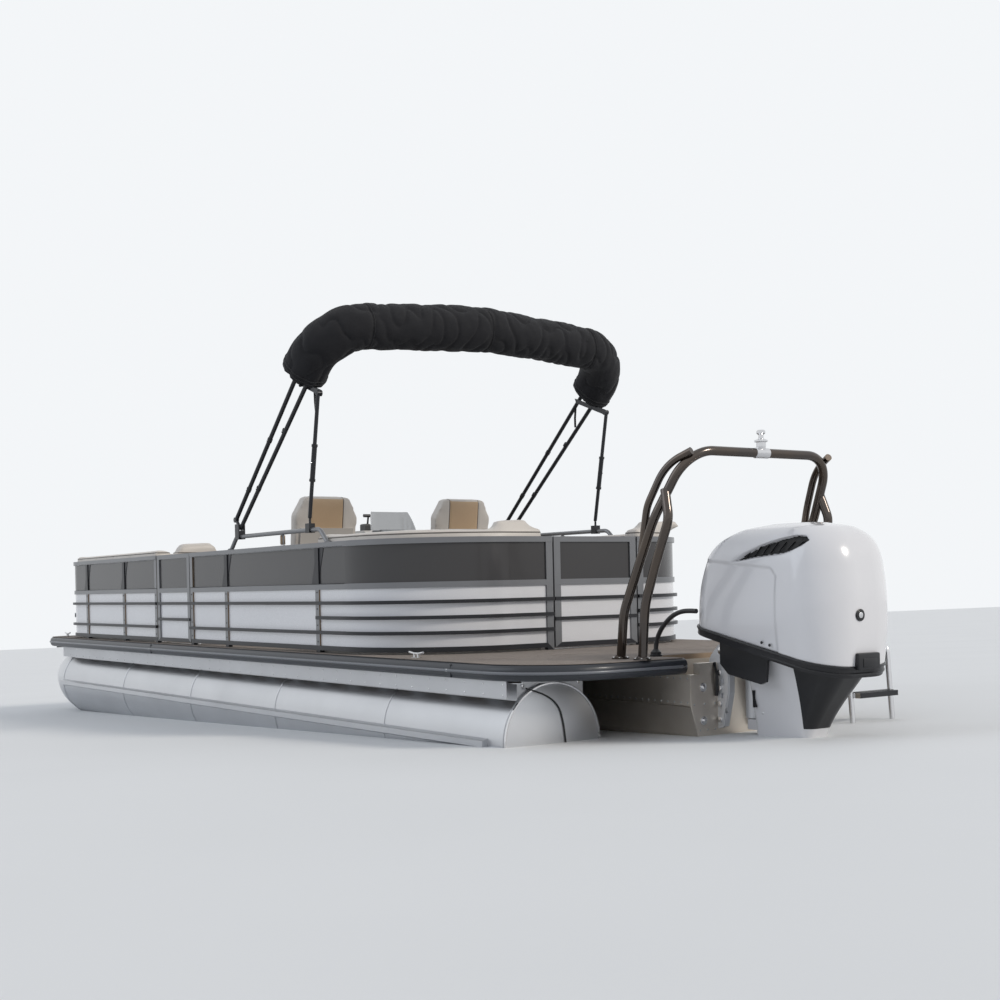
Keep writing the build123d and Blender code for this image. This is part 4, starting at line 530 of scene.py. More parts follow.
SET_ALONG = repeat_tree()
SOCKETS = {s.name: s.identifier for s in SET_ALONG.interface.items_tree if s.in_out == "INPUT"}


def row_of(name, body, shape, lines, spacing, material):
    """Copies of one shape along lines; each line is its points and the way the shapes face."""
    mould_mesh = bpy.data.meshes.new(name + "_mould")
    mould_mesh.from_pydata([tuple(v) for v in shape[0]], [], shape[1])
    face_out(mould_mesh)
    mould = placed(name + "_mould", mould_mesh)
    verts, edges, facings = [], [], []
    for points, facing in lines:
        start = len(verts)
        verts += [tuple(p) for p in points]
        edges += [(start + k, start + k + 1) for k in range(len(points) - 1)]
        facings += [tuple(f) for f in facing] if isinstance(facing, list) else [tuple(facing)] * len(points)
    mesh = bpy.data.meshes.new(name)
    mesh.from_pydata(verts, edges, [])
    attribute = mesh.attributes.new("facing", "FLOAT_VECTOR", "POINT")
    attribute.data.foreach_set("vector", [c for f in facings for c in f])
    made = placed(name, mesh)
    modifier = made.modifiers.new("set_along", "NODES")
    modifier.node_group = SET_ALONG
    modifier[SOCKETS["Shape"]] = mould
    modifier[SOCKETS["Spacing"]] = spacing
    modifier[SOCKETS["Finish"]] = FINISHES[material]
    settle(made)
    if not made.data.materials:
        made.data.materials.append(FINISHES[material])
    made.data.shade_smooth()
    made.data.set_sharp_from_angle(angle=math.radians(35))
    bpy.data.objects.remove(mould)
    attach(made, body)
    return made


RIVET = turned([(-0.0006, 0.0055), (0.0008, 0.0052), (0.0020, 0.0036), (0.0025, 0.0014)], (0, 0, 0),
    (0, 0, 1), 10)
SCREW_HEAD = turned([(-0.0006, 0.0050), (0.0012, 0.0050), (0.0024, 0.0036), (0.0026, 0.0022),
    (0.0010, 0.0014)], (0, 0, 0), (0, 0, 1), 10)


# ---- camera and light ----
def set_camera():
    """The camera at the place the photograph was taken from."""
    data = bpy.data.cameras.new("camera")
    made = placed("camera", data)
    data.sensor_width = 36.0
    data.lens = 36.0 * 1.39167
    data.shift_y = 0.09877
    data.clip_end = 2000.0
    yaw, pitch, roll = (math.radians(a) for a in (34.6726, -0.6126, -1.2489))
    ahead = Vector((math.cos(yaw) * math.cos(pitch), -math.sin(yaw) * math.cos(pitch), math.sin(pitch)))
    right = ahead.cross(Vector((0, 0, 1))).normalized()
    up = right.cross(ahead)
    rolled_right = right * math.cos(roll) + up * math.sin(roll)
    rolled_up = up * math.cos(roll) - right * math.sin(roll)
    turn = Matrix((rolled_right, rolled_up, -ahead)).transposed().to_4x4()
    made.matrix_world = Matrix.Translation((-10.0386, 5.3914, 1.0103)) @ turn
    scene.camera = made


def set_light():
    """A soft sky, a low warm key from the stern and a weak fill."""
    world = bpy.data.worlds.new("studio")
    scene.world = world
    world.use_nodes = True
    tree = world.node_tree
    sky = tree.nodes["Background"]
    sky.inputs["Color"].default_value = (0.90, 0.93, 1.0, 1.0)
    sky.inputs["Strength"].default_value = 0.56
    backdrop = tree.nodes.new("ShaderNodeBackground")
    backdrop.inputs["Color"].default_value = (0.90, 0.92, 0.94, 1.0)
    backdrop.inputs["Strength"].default_value = 1.0
    rays = tree.nodes.new("ShaderNodeLightPath")
    seen = tree.nodes.new("ShaderNodeMath")
    seen.operation = "MAXIMUM"
    shown = tree.nodes.new("ShaderNodeMath")
    shown.operation = "MAXIMUM"
    mix = tree.nodes.new("ShaderNodeMixShader")
    link(tree, rays.outputs["Is Camera Ray"], seen.inputs[0])
    link(tree, rays.outputs["Is Transmission Ray"], seen.inputs[1])
    link(tree, seen.outputs[0], shown.inputs[0])
    link(tree, rays.outputs["Is Glossy Ray"], shown.inputs[1])
    link(tree, shown.outputs[0], mix.inputs[0])
    link(tree, sky.outputs[0], mix.inputs[1])
    link(tree, backdrop.outputs[0], mix.inputs[2])
    link(tree, mix.outputs[0], tree.nodes["World Output"].inputs["Surface"])
    for name, angles, strength, colour, width in (("key", (58, 0, -62), 1.6, (1.0, 0.93, 0.84), 14.0),
            ("fill", (60, 0, 150), 0.45, (0.86, 0.92, 1.0), 40.0)):
        lamp = bpy.data.lights.new(name, "SUN")
        lamp.energy = strength
        lamp.color = colour
        lamp.angle = math.radians(width)
        made = bpy.data.objects.new(name, lamp)
        made.rotation_euler = [math.radians(a) for a in angles]
        scene.collection.objects.link(made)


def set_water_plane():
    """The pale floor at the waterline; it shows only from above."""
    made = bpy.data.objects.new("floor", bpy.data.meshes.new("floor"))
    half = 400.0
    rise = math.tan(TRIM) * half
    made.data.from_pydata([(-half, -half, rise), (half, -half, -rise), (half, half, -rise),
        (-half, half, rise)], [], [(0, 1, 2, 3)])
    scene.collection.objects.link(made)
    material = bpy.data.materials.new("floor_pale")
    material.use_nodes = True
    tree = material.node_tree
    shader = tree.nodes["Principled BSDF"]
    shader.inputs["Roughness"].default_value = 0.75
    coords = tree.nodes.new("ShaderNodeTexCoord").outputs["Object"]
    ripple = tree.nodes.new("ShaderNodeTexNoise")
    ripple.inputs["Scale"].default_value = 0.6
    link(tree, coords, ripple.inputs["Vector"])
    tint = tree.nodes.new("ShaderNodeMix")
    tint.data_type = "RGBA"
    tint.inputs[6].default_value = (0.74, 0.76, 0.77, 1.0)
    tint.inputs[7].default_value = (0.78, 0.80, 0.81, 1.0)
    link(tree, ripple.outputs["Fac"], tint.inputs[0])
    link(tree, tint.outputs[2], shader.inputs["Base Color"])
    back = tree.nodes.new("ShaderNodeNewGeometry")
    gone = tree.nodes.new("ShaderNodeBsdfTransparent")
    mix = tree.nodes.new("ShaderNodeMixShader")
    link(tree, back.outputs["Backfacing"], mix.inputs[0])
    link(tree, shader.outputs[0], mix.inputs[1])
    link(tree, gone.outputs[0], mix.inputs[2])
    link(tree, mix.outputs[0], tree.nodes["Material Output"].inputs["Surface"])
    made.data.materials.append(material)


scene.view_settings.view_transform = "Standard"
set_camera()
set_light()
set_water_plane()


# ---- the control hose, a free cord from the deck gland to the engine's side ----
HOSE_ROUTE = [(-4.186, 0.300, 0.612), (-4.186, 0.300, 0.651), (-4.206, 0.302, 0.701), (-4.245, 0.304, 0.751),
    (-4.312, 0.305, 0.805), (-4.379, 0.304, 0.835), (-4.450, 0.302, 0.845), (-4.520, 0.300, 0.842)]


def lay_hose():
    """The hose as one smooth curve along its route."""
    curve = bpy.data.curves.new("control_hose_line", "CURVE")
    curve.dimensions = "3D"
    spline = curve.splines.new("NURBS")
    spline.points.add(len(HOSE_ROUTE) - 1)
    for point, place in zip(spline.points, HOSE_ROUTE):
        point.co = (*place, 1.0)
    spline.order_u = 3
    spline.use_endpoint_u = True
    spline.resolution_u = 12
    curve.resolution_u = 12
    made = placed("control_hose_cover", curve)
    bare = bpy.data.meshes.new_from_object(made.evaluated_get(bpy.context.evaluated_depsgraph_get()))
    length = sum((bare.vertices[i + 1].co - bare.vertices[i].co).length
        for i in range(len(bare.vertices) - 1))
    bpy.data.meshes.remove(bare)
    curve.bevel_depth = 0.013
    curve.bevel_resolution = 6
    curve.use_fill_caps = True
    curve.materials.append(FINISHES["hose_black"])
    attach(made, "hull")
    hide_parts("control_hose")
    return length


hose_length = lay_hose()
piece("hose_gland_nut", "hull", [("engine_black", turned(
    [(0.0, 0.036), (0.008, 0.036), (0.010, 0.030), (0.024, 0.030), (0.034, 0.019), (0.040, 0.0150)],
    (-4.186, 0.300, DECK + 0.0005), (0, 0, 1), 36)), *[("bright_steel",
    screw((-4.186 + 0.031 * math.cos(a), 0.300 + 0.031 * math.sin(a), DECK + 0.008), (0, 0, 1), 0.0035,
    0.002)) for a in (0.4, 2.0, 3.5, 5.1)]])


# ---- upholstery: foam shapes blown up as cloth, then sewn ----
# Solid, body, voxel, how far a point may move, fullness
PADS = [("seat_lid_bow_port", "lid_bow_port", 0.024, 0.012, 0.75),
    ("seat_lid_bow_stbd", "lid_bow_stbd", 0.024, 0.012, 0.75),
    ("seat_lid_aft_port", "lid_aft_port", 0.022, 0.012, 0.75),
    ("seat_lid_aft_stbd", "lid_aft_stbd", 0.024, 0.012, 0.75),
    ("seat_corner_cushions", "hull", 0.026, 0.010, 0.75), ("seat_backs_bow", "hull", 0.030, 0.012, 0.7),
    ("seat_backs_aft", "hull", 0.030, 0.012, 0.7), ("helm_chair_cushions", "helm_chair", 0.018, 0.010, 0.7),
    ("companion_chair_cushions", "companion_chair", 0.018, 0.010, 0.7), ]
TUCK = 0.004
SWELL_STEPS = 15


def evened(node, name, voxel):
    """A copy of a soft solid, remeshed to even faces."""
    made = welded(node, name)
    modifier = made.modifiers.new("even", "REMESH")
    modifier.mode = "VOXEL"
    modifier.voxel_size = voxel
    return settle(made)


def foam(node, voxel):
    """A remeshed copy of a soft solid, drawn in a little so that it can swell."""
    made = evened(node, node + "_foam", voxel)
    mesh = made.data
    mesh.vertices.foreach_set("co", (rows_of(mesh, "co") - rows_of(mesh, "normal") * TUCK).ravel())
    mesh.update()
    return made


def swell(pads):
    """Blows every pad up as cloth for a few steps, then holds each point within its limit."""
    starts = []
    for made, limit in pads:
        starts.append(rows_of(made.data, "co"))
        cloth = made.modifiers.new("cloth", "CLOTH")
        cloth.settings.quality = 3
        cloth.settings.use_pressure = True
        cloth.settings.uniform_pressure_force = 4.0
        cloth.settings.effector_weights.gravity = 0.0
        cloth.collision_settings.use_collision = False
        cloth.point_cache.frame_start = 1
        cloth.point_cache.frame_end = SWELL_STEPS
    for step in range(1, SWELL_STEPS + 1):
        scene.frame_set(step)
    graph = bpy.context.evaluated_depsgraph_get()
    for (made, limit), start in zip(pads, starts):
        moved = made.evaluated_get(graph).to_mesh()
        shift = rows_of(moved, "co") - start
        reach = np.linalg.norm(shift, axis=1, keepdims=True)
        shift *= np.minimum(1.0, limit / np.maximum(reach, 1e-9))
        made.evaluated_get(graph).to_mesh_clear()
        made.modifiers.clear()
        made.data.vertices.foreach_set("co", (start + shift).ravel())
        made.data.update()
    scene.frame_set(1)


def sew(made, seams):
    """Presses grooves into a pad: each seam is a point, the plane's normal, depth, width and a test."""
    mesh = made.data
    places, normals = rows_of(mesh, "co"), rows_of(mesh, "normal")
    moved = places.copy()
    for place, across, depth, width, where in seams:
        distance = (places - np.array(place)) @ np.array(across)
        amount = depth * np.exp(-(distance / width) ** 2) * where(places, normals)
        moved -= normals * amount[:, None]
    mesh.vertices.foreach_set("co", moved.ravel())
    mesh.update()


def finer(made):
    """One subdivision, applied."""
    modifier = made.modifiers.new("finer", "SUBSURF")
    modifier.levels = 1
    modifier.render_levels = 1
    return settle(made)


def facing_up(places, normals):
    return np.clip(normals[:, 2] * 1.6, 0.0, 1.0)


def everywhere(places, normals):
    return np.ones(len(places))


def forward_faces(places, normals):
    return np.clip(normals[:, 0] * 2.0, 0.0, 1.0)


def lid_seams(node):
    """Cross channels and a border line for a seat cushion."""
    low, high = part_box(node)
    length = high.x - low.x
    count = max(1, round(length / 0.44))
    seams = []
    for k in range(1, count):
        seams.append(((low.x + length * k / count, 0, 0), FORE, 0.006, 0.012, facing_up))
    inner = low.y + 0.10 if low.y > 0 else high.y - 0.10
    seams.append(((0, inner, 0), PORT, 0.005, 0.011, facing_up))
    return seams


def back_seams(stations):
    """Upright channels along the side backs, clear of the stern run."""
    return [((x, 0, 0), FORE, 0.007, 0.015, everywhere) for x in stations]


CHAIR_PLACES = {"helm_chair_cushions": HELM_CHAIR, "companion_chair_cushions": COMPANION_CHAIR}


def chair_seams(node):
    """The inset panel's edges on back and seat, and the cross channels between them."""
    x, y = CHAIR_PLACES[node]
    seams = []
    for side in (1, -1):
        seams.append(((0, y + side * INSET_HALF, 0), PORT, 0.006, 0.009, everywhere))
    for z in (1.22, 1.36, 1.50, 1.60):
        inside = lambda places, normals: (np.abs(places[:, 1] - y) < INSET_HALF) * forward_faces(places,
            normals)
        seams.append(((0, 0, z), UP, 0.006, 0.008, inside))
    seams.append(((x + 0.06, 0, 0), FORE, 0.005, 0.008, lambda places,
        normals: (np.abs(places[:, 1] - y) < INSET_HALF) * facing_up(places, normals)))
    return seams


def cover(made, node, body, seams):
    """Finishes one pad: subdivision, seams, vinyl, and its place on a body."""
    finer(made)
    sew(made, seams)
    made.name = node + "_vinyl"
    made.data.name = made.name
    made.data.materials.clear()
    made.data.materials.append(FINISHES["vinyl_warm_grey"])
    made.data.shade_smooth()
    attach(made, body)
    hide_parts(node)
    return made


def tan_inset(made, choose):
    """Turns the faces inside an inset panel to tan."""
    made.data.materials.append(FINISHES["vinyl_tan"])
    for face in made.data.polygons:
        if choose(face.center, face.normal):
            face.material_index = 1


def make_upholstery():
    """Every cushion, swollen, sewn and covered."""
    pads = [(foam(node, voxel), limit) for node, _, voxel, limit, _ in PADS]
    swell(pads)
    covered = {}
    for (made, _), (node, body, _, _, fill) in zip(pads, PADS):
        if node.startswith("seat_lid"):
            seams = lid_seams(node)
        elif node in CHAIR_PLACES:
            seams = chair_seams(node)
        elif node == "seat_backs_bow":
            seams = back_seams((1.66, 2.10, 2.54, 2.95))
        elif node == "seat_backs_aft":
            seams = back_seams((-1.60, -2.00, -2.35)) + [((0, y, 0), PORT, 0.006, 0.009, forward_faces)
                for y in (0.18, 0.55, -0.62)]
        else:
            seams = [((-2.44, 0, 0), FORE, 0.004, 0.008, facing_up)]
        covered[node] = cover(made, node, body, seams)
    for node, (x, y) in CHAIR_PLACES.items():
        tan_inset(covered[node], lambda c, n: abs(c.y - y) < 0.133 and c.z < 1.675
            and ((c.x > x - 0.30 and n.x > 0.2) or (n.z > 0.5 and c.z < 1.15) or (n.x < -0.6 and c.z > 1.30)))
    return covered


cushions = make_upholstery()


def piped(name, body, source, cuts, radius=0.0045, keep=None):
    """Piping along the lines in which planes cut a pad."""
    parts = []
    for place, normal in cuts:
        for loop in cut_loops(source, place, normal, 0.02):
            if keep is None or keep(loop):
                parts.append(("piping_dark", bar(loop, radius, 8, closed=True)))
    if parts:
        piece(name, body, parts, 60)


for node_name, body_name in (("seat_lid_bow_port", "lid_bow_port"), ("seat_lid_bow_stbd", "lid_bow_stbd"),
        ("seat_lid_aft_port", "lid_aft_port"), ("seat_lid_aft_stbd", "lid_aft_stbd")):
    piped(node_name + "_piping", body_name, cushions[node_name], [((0, 0, SEAT_TOP - 0.020), UP)])
piped("seat_corner_piping", "hull", cushions["seat_corner_cushions"], [((0, 0, SEAT_TOP - 0.020), UP)])
piped("seat_backs_bow_piping", "hull", cushions["seat_backs_bow"], [((0, 0, 1.330), UP)])
piped("seat_backs_aft_piping", "hull", cushions["seat_backs_aft"], [((0, 0, 1.330), UP)])
for node_name, body_name in (("helm_chair_cushions", "helm_chair"),
        ("companion_chair_cushions", "companion_chair")):
    chair_x, chair_y = CHAIR_PLACES[node_name]
    piped(node_name + "_piping", body_name, cushions[node_name],
        [((0, 0, 1.045), UP), ((0, chair_y + INSET_HALF, 0), PORT), ((0, chair_y - INSET_HALF, 0), PORT)],
        0.0038, keep=lambda loop: len(loop) > 20)


# ---- canopy boot: a rolled canvas sleeve with creases, seams, cuffs and straps ----
def crease(place):
    """How far the canvas stands in or out at a point."""
    p = Vector(place)
    long_fold = noise.noise(Vector((p.x * 3.0, p.y * 1.6, p.z * 3.0)))
    cross_fold = abs(noise.noise(Vector((p.x * 5.0 + 4.0, p.y * 9.0, p.z * 5.0))))
    fine = noise.noise(Vector((p.x * 16.0, p.y * 22.0, p.z * 16.0)))
    return 0.009 * long_fold - 0.012 * (1.0 - cross_fold) ** 6 + 0.0025 * fine


def make_boot():
    """The creased canvas sleeve, in place of the plain solid."""
    made = evened("canopy_boot", "canopy_boot_canvas", 0.017)
    finer(made)
    mesh = made.data
    for corner in mesh.vertices:
        corner.co += corner.normal * (crease(corner.co) + 0.001)
    mesh.update()
    sew(made, [((0, y, 0), PORT, 0.008, 0.012, everywhere) for y in BOOT_SEAMS])
    mesh.materials.clear()
    mesh.materials.append(FINISHES["boot_canvas"])
    mesh.shade_smooth()
    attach(made, "canopy")
    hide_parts("canopy_boot")
    return made


boot = make_boot()
boot_bands = []
for y in BOOT_SEAMS:
    for offset in (-0.011, 0.011):
        for loop in cut_loops(boot, (0, y + offset, 0), PORT, 0.02):
            if len(loop) > 30:
                boot_bands.append(("webbing_black", bar(loop, 0.0028, 6, closed=True)))
LEG_AHEAD = Vector((-math.cos(CANOPY_RAKE), 0, math.sin(CANOPY_RAKE)))
for side in (1, -1):
    for reach in (1.475, 1.500):
        place = Vector((CANOPY_PIVOT_X, side * GRAB_RAIL_SIDE, CANOPY_PIVOT_Z)) + LEG_AHEAD * reach
        for loop in cut_loops(boot, place, LEG_AHEAD, 0.02):
            middle = sum(loop, Vector()) / len(loop)
            if middle.y * side > 0.9 and len(loop) > 20:
                boot_bands.append(("webbing_black", bar(loop, 0.0045, 6, closed=True)))
if boot_bands:
    piece("canopy_boot_seams", "canopy", boot_bands, 60)


# ---- engine cover ----
# Height, fore X, aft X, half width, fore and aft corner radius
COWL_SECTIONS = [(0.380, -4.475, -5.375, 0.240, 0.100, 0.170), (0.560, -4.450, -5.405, 0.272, 0.120, 0.200),
    (0.800, -4.440, -5.425, 0.300, 0.150, 0.235), (1.020, -4.465, -5.417, 0.291, 0.150, 0.230),
    (1.180, -4.545, -5.375, 0.258, 0.140, 0.200), (1.262, -4.690, -5.275, 0.186, 0.110, 0.150),
    (1.290, -4.860, -5.135, 0.090, 0.050, 0.070)]
# Air intake outline on the cover's side: X and Z
INTAKE = [(-4.765, 1.096), (-4.850, 1.140), (-4.960, 1.180), (-5.080, 1.208), (-5.180, 1.222),
    (-5.235, 1.216), (-5.262, 1.192), (-5.235, 1.168), (-5.170, 1.140), (-5.110, 1.127), (-5.020, 1.121),
    (-4.920, 1.113), (-4.840, 1.102)]
BREAK_X = -5.100


def section_at(height):
    """The cover's plan sizes at one height, smoothly between the table's rows."""
    rows = COWL_SECTIONS
    height = min(max(height, rows[0][0]), rows[-1][0])
    k = max(i for i in range(len(rows) - 1) if rows[i][0] <= height)
    t = (height - rows[k][0]) / (rows[k + 1][0] - rows[k][0])
    values = []
    for column in range(1, 6):
        y0, y1 = rows[k][column], rows[k + 1][column]
        before = rows[max(0, k - 1)]
        after = rows[min(len(rows) - 1, k + 2)]
        span = rows[k + 1][0] - rows[k][0]
        slope0 = (y1 - before[column]) / max(1e-6, rows[k + 1][0] - before[0]) * span
        slope1 = (after[column] - y0) / max(1e-6, after[0] - rows[k][0]) * span
        h00, h10 = 2 * t ** 3 - 3 * t ** 2 + 1, t ** 3 - 2 * t ** 2 + t
        h01, h11 = -2 * t ** 3 + 3 * t ** 2, t ** 3 - t ** 2
        values.append(h00 * y0 + h10 * slope0 + h01 * y1 + h11 * slope1)
    return values


def plan_point(values, share):
    """A point on the rounded plan outline; share runs once round from the middle of the bow."""
    fore, aft, half, fore_r, aft_r = values
    quarter = math.pi / 2
    runs = [half - fore_r, quarter * fore_r, fore - aft - fore_r - aft_r, quarter * aft_r, half - aft_r]
    goal = (share if share <= 0.5 else 1.0 - share) * 2 * sum(runs)
    side = 1.0 if share <= 0.5 else -1.0
    if goal <= runs[0]:
        return fore, side * goal
    goal -= runs[0]
    if goal <= runs[1]:
        a = goal / fore_r
        return fore - fore_r + fore_r * math.cos(a), side * (half - fore_r + fore_r * math.sin(a))
    goal -= runs[1]
    if goal <= runs[2]:
        return fore - fore_r - goal, side * half
    goal -= runs[2]
    if goal <= runs[3]:
        a = goal / aft_r
        return aft + aft_r - aft_r * math.sin(a), side * (half - aft_r + aft_r * math.cos(a))
    goal -= runs[3]
    return aft, side * (half - aft_r - goal)


def part_line(x):
    """Height of the cover's lower edge at one X."""
    return PART_LINE_AFT + (x - COWL_AFT) / (COWL_FORE - COWL_AFT) * (PART_LINE_FORE - PART_LINE_AFT)


def inside_distance(x, z, outline):
    """How deep a point lies inside an outline; negative outside."""
    inside, nearest = False, 1e9
    for (x0, z0), (x1, z1) in zip(outline, outline[1:] + outline[:1]):
        if (z0 > z) != (z1 > z) and x < (x1 - x0) * (z - z0) / (z1 - z0) + x0:
            inside = not inside
        span = (x1 - x0) ** 2 + (z1 - z0) ** 2
        t = max(0.0, min(1.0, ((x - x0) * (x1 - x0) + (z - z0) * (z1 - z0)) / span))
        nearest = min(nearest, math.hypot(x - x0 - t * (x1 - x0), z - z0 - t * (z1 - z0)))
    return nearest if inside else -nearest


def smooth_step(value):
    """0 to 1 with level ends."""
    value = min(1.0, max(0.0, value))
    return value * value * (3 - 2 * value)


def make_cowl():
    """The pearl cover with its side facet and sunken air intakes."""
    around, rows = ((300, 120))
    verts, faces = [], []
    for i in range(rows + 1):
        for k in range(around):
            share = k / around
            height = 0.7
            for _ in range(5):
                x, y = plan_point(section_at(height), share)
                base = part_line(x)
                height = base + (1.290 - base) * (1.0 - (1.0 - i / rows) ** 1.25)
            verts.append(Vector((x, y, height)))
    for i in range(rows):
        for k in range(around):
            n = (k + 1) % around
            faces.append([i * around + k, i * around + n, (i + 1) * around + n, (i + 1) * around + k])
    top = len(verts)
    verts.append(Vector((-4.998, 0, 1.2935)))
    for k in range(around):
        faces.append([rows * around + k, rows * around + (k + 1) % around, top])
    depth = [0.0] * len(verts)
    for number, corner in enumerate(verts):
        if abs(corner.y) < 0.06:
            continue
        sunk = inside_distance(corner.x, corner.z, INTAKE)
        depth[number] = sunk
        push = 0.030 * smooth_step((sunk + 0.004) / 0.012) if sunk > -0.004 else 0.0
        lean = smooth_step((corner.x - BREAK_X - max(0.0, corner.z - 1.02) * 0.9) / 0.022)
        below = smooth_step((1.105 - corner.z + 0.10 * (corner.x + 4.75)) / 0.025)
        side_share = smooth_step((abs(corner.y) - 0.20) / 0.05)
        push += 0.009 * lean * below * side_share
        corner.y -= math.copysign(push, corner.y)
    made = piece("outboard_cowl_shell", "engine", [("cowl_pearl", (verts, faces))], 80)
    made.data.materials.append(FINISHES["intake_mesh"])
    for face in made.data.polygons:
        if all(depth[v] > 0.003 for v in face.vertices):
            face.material_index = 1
    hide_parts("outboard_cowl")
    thick = made.modifiers.new("wall", "SOLIDIFY")
    thick.thickness = 0.006
    thick.offset = -1.0
    return made


make_cowl()


def band_line(lift, grow):
    """Points round the cover a set height above its lower edge, moved out by grow."""
    points = []
    for k in range(200):
        height = 0.7
        for _ in range(5):
            x, y = plan_point(section_at(height), k / 200)
            height = part_line(x) + lift
        outward = Vector((x + 4.93, y * 1.6, 0)).normalized()
        points.append(Vector((x, y, height)) + outward * grow)
    return points


engine_trim = [("engine_black", bar(band_line(-0.006, 0.0), 0.0075, 8, closed=True)),
    ("engine_black", bar(band_line(-0.038, -0.002), 0.0060, 8, closed=True)),
    ("engine_black", plate((-5.437, -0.078, 0.548), (-5.405, 0.078, 0.632), 0.010)),
    ("engine_black", plate((-5.441, -0.050, 0.560), (-5.420, 0.050, 0.606), 0.005)),
    ("engine_black", turned([(0, 0.030), (0.006, 0.030), (0.008, 0.026), (0.008, 0.018), (0.005, 0.016),
    (0.005, 0.002)], (-5.4245, 0.055, 0.819), (-1, 0, 0), 40)),
    ("bright_steel", turned([(0, 0.015), (0.007, 0.015), (0.009, 0.010), (0.0085, 0.002)],
    (-5.4265, 0.055, 0.819), (-1, 0, 0), 32)), ]
for x in (-4.986, -5.041):
    for side in (1, -1):
        engine_trim.append(("engine_black", screw((x, side * 0.2895, part_line(x) + 0.028), (0, side, 0),
            0.008, 0.004)))
for side in (1, -1):
    for k in range(7):
        x0 = -4.86 - k * 0.055
        z0 = 1.118 + k * 0.006
        engine_trim.append(("engine_black", bar([(x0, side * (section_at(z0)[2] - 0.022), z0),
            (x0 - 0.035, side * (section_at(z0 + 0.05)[2] - 0.022), min(z0 + 0.05, 1.19))], 0.004, 6)))
piece("outboard_trim", "engine", engine_trim, 40)


def tray_cheek_and_shade(side):
    """The deeper black tray below the cover's front, on one side: the lower pan, and painted shade under the
    band.
    """
    outline = [(-4.600, 0.690), (-4.600, 0.560), (-4.660, 0.505), (-4.900, 0.462), (-4.935, 0.475),
        (-4.950, 0.600)]
    y = side * 0.196
    return slab([(x, y, z) for x, z in outline], 0.016, (0, side, 0))


steer_shaft = [("engine_black", tray_cheek_and_shade(1)), ("engine_black", tray_cheek_and_shade(-1)),
    ("bright_steel", turned([(0, 0.030), (0.006, 0.030), (0.006, 0.018), (0.020, 0.018), (0.023, 0.010)],
    (-4.640, 0, 0.655), (0, 0, 1), 24)), ("zinc_grey", plate((-5.02, -0.045, -0.098), (-4.90, 0.045, -0.073),
    0.006)), ("zinc_grey", turned([(0, 0.012), (0.003, 0.012), (0.006, 0.006)], (-4.96, 0.0, -0.098),
    (0, 0, -1), 16)), ]
for side in (1, -1):
    for k in range(5):
        z = -0.150 - 0.014 * k
        steer_shaft.append(("engine_black", plate((-4.780, side * 0.047, z),
            (-4.720, side * 0.053, z + 0.006), 0.001)))
    steer_shaft.append(("engine_black", bar([(-4.760, side * 0.118, 0.330), (-4.760, side * 0.122, 0.420)],
        0.012, 12)))
    for z in (0.02, 0.30, 0.42):
        x = -4.800
        half = 0.060 + max(0.0, z + 0.06) * 0.108
        steer_shaft.append(("bracket_silver", screw((x, side * half, z), (0, side, 0), 0.009, 0.005)))
piece("outboard_leg_fittings", "engine", steer_shaft, 35)

propeller_nut = [("bright_steel", turned([(0, 0.022), (0.016, 0.022), (0.018, 0.019), (0.020, 0.010)],
    (-5.1085, 0, -0.275), (-1, 0, 0), 6)), ("propeller_steel",
    bar([(-5.120, 0, -0.300), (-5.120, 0, -0.250)], 0.0025, 8))]
piece("propeller_nut", "screw", propeller_nut, 30)


# ---- clamp bracket, its bolts and the rigging beside it ----
clamp_fittings = []
for side in (1, -1):
    for z in (0.250, 0.335, 0.420, 0.505):
        clamp_fittings.append(("bright_steel", turned([(0, 0.016), (0.010, 0.016), (0.012, 0.012)],
            (-4.522, side * 0.138, z), (0, side, 0), 6)))
    clamp_fittings.append(("bright_steel", turned([(0, 0.026), (0.012, 0.026), (0.018, 0.020),
        (0.020, 0.008)], (-4.545, side * 0.138, 0.625), (0, side, 0), 28)))
    clamp_fittings.append(("bracket_silver", slab([(-4.510, side * 0.1385, 0.215),
        (-4.538, side * 0.1385, 0.225), (-4.585, side * 0.1385, 0.400), (-4.588, side * 0.1385, 0.590),
        (-4.572, side * 0.1385, 0.640), (-4.560, side * 0.1385, 0.590), (-4.556, side * 0.1385, 0.405)],
        0.004, (0, side, 0))))
    clamp_fittings.append(("engine_black", bar([(-4.500, side * 0.160, 0.560), (-4.518, side * 0.158, 0.500),
        (-4.512, side * 0.155, 0.430), (-4.505, side * 0.152, 0.380)], 0.009, 10)))
for y, z in ((0.245, 0.430), (-0.245, 0.430), (0.245, 0.250), (-0.245, 0.250)):
    clamp_fittings.append(("bright_steel", turned([(0, 0.024), (0.003, 0.024), (0.004, 0.014), (0.013, 0.014),
        (0.015, 0.010)], (-4.500, y, z), (-1, 0, 0), 24)))
piece("outboard_clamp_fittings", "hull", clamp_fittings, 35)


# ---- hull: weld beads, saddle bolts, drain plugs and bow eyes ----
def ring(centre, radius, normal, thickness, sides=72):
    """A thin round bar bent into a circle."""
    side, up = square_to(normal)
    centre = Vector(centre)
    points = [centre + (side * math.cos(2 * math.pi * k / sides)
        + up * math.sin(2 * math.pi * k / sides)) * radius for k in range(sides)]
    return bar(points, thickness, 6, closed=True)


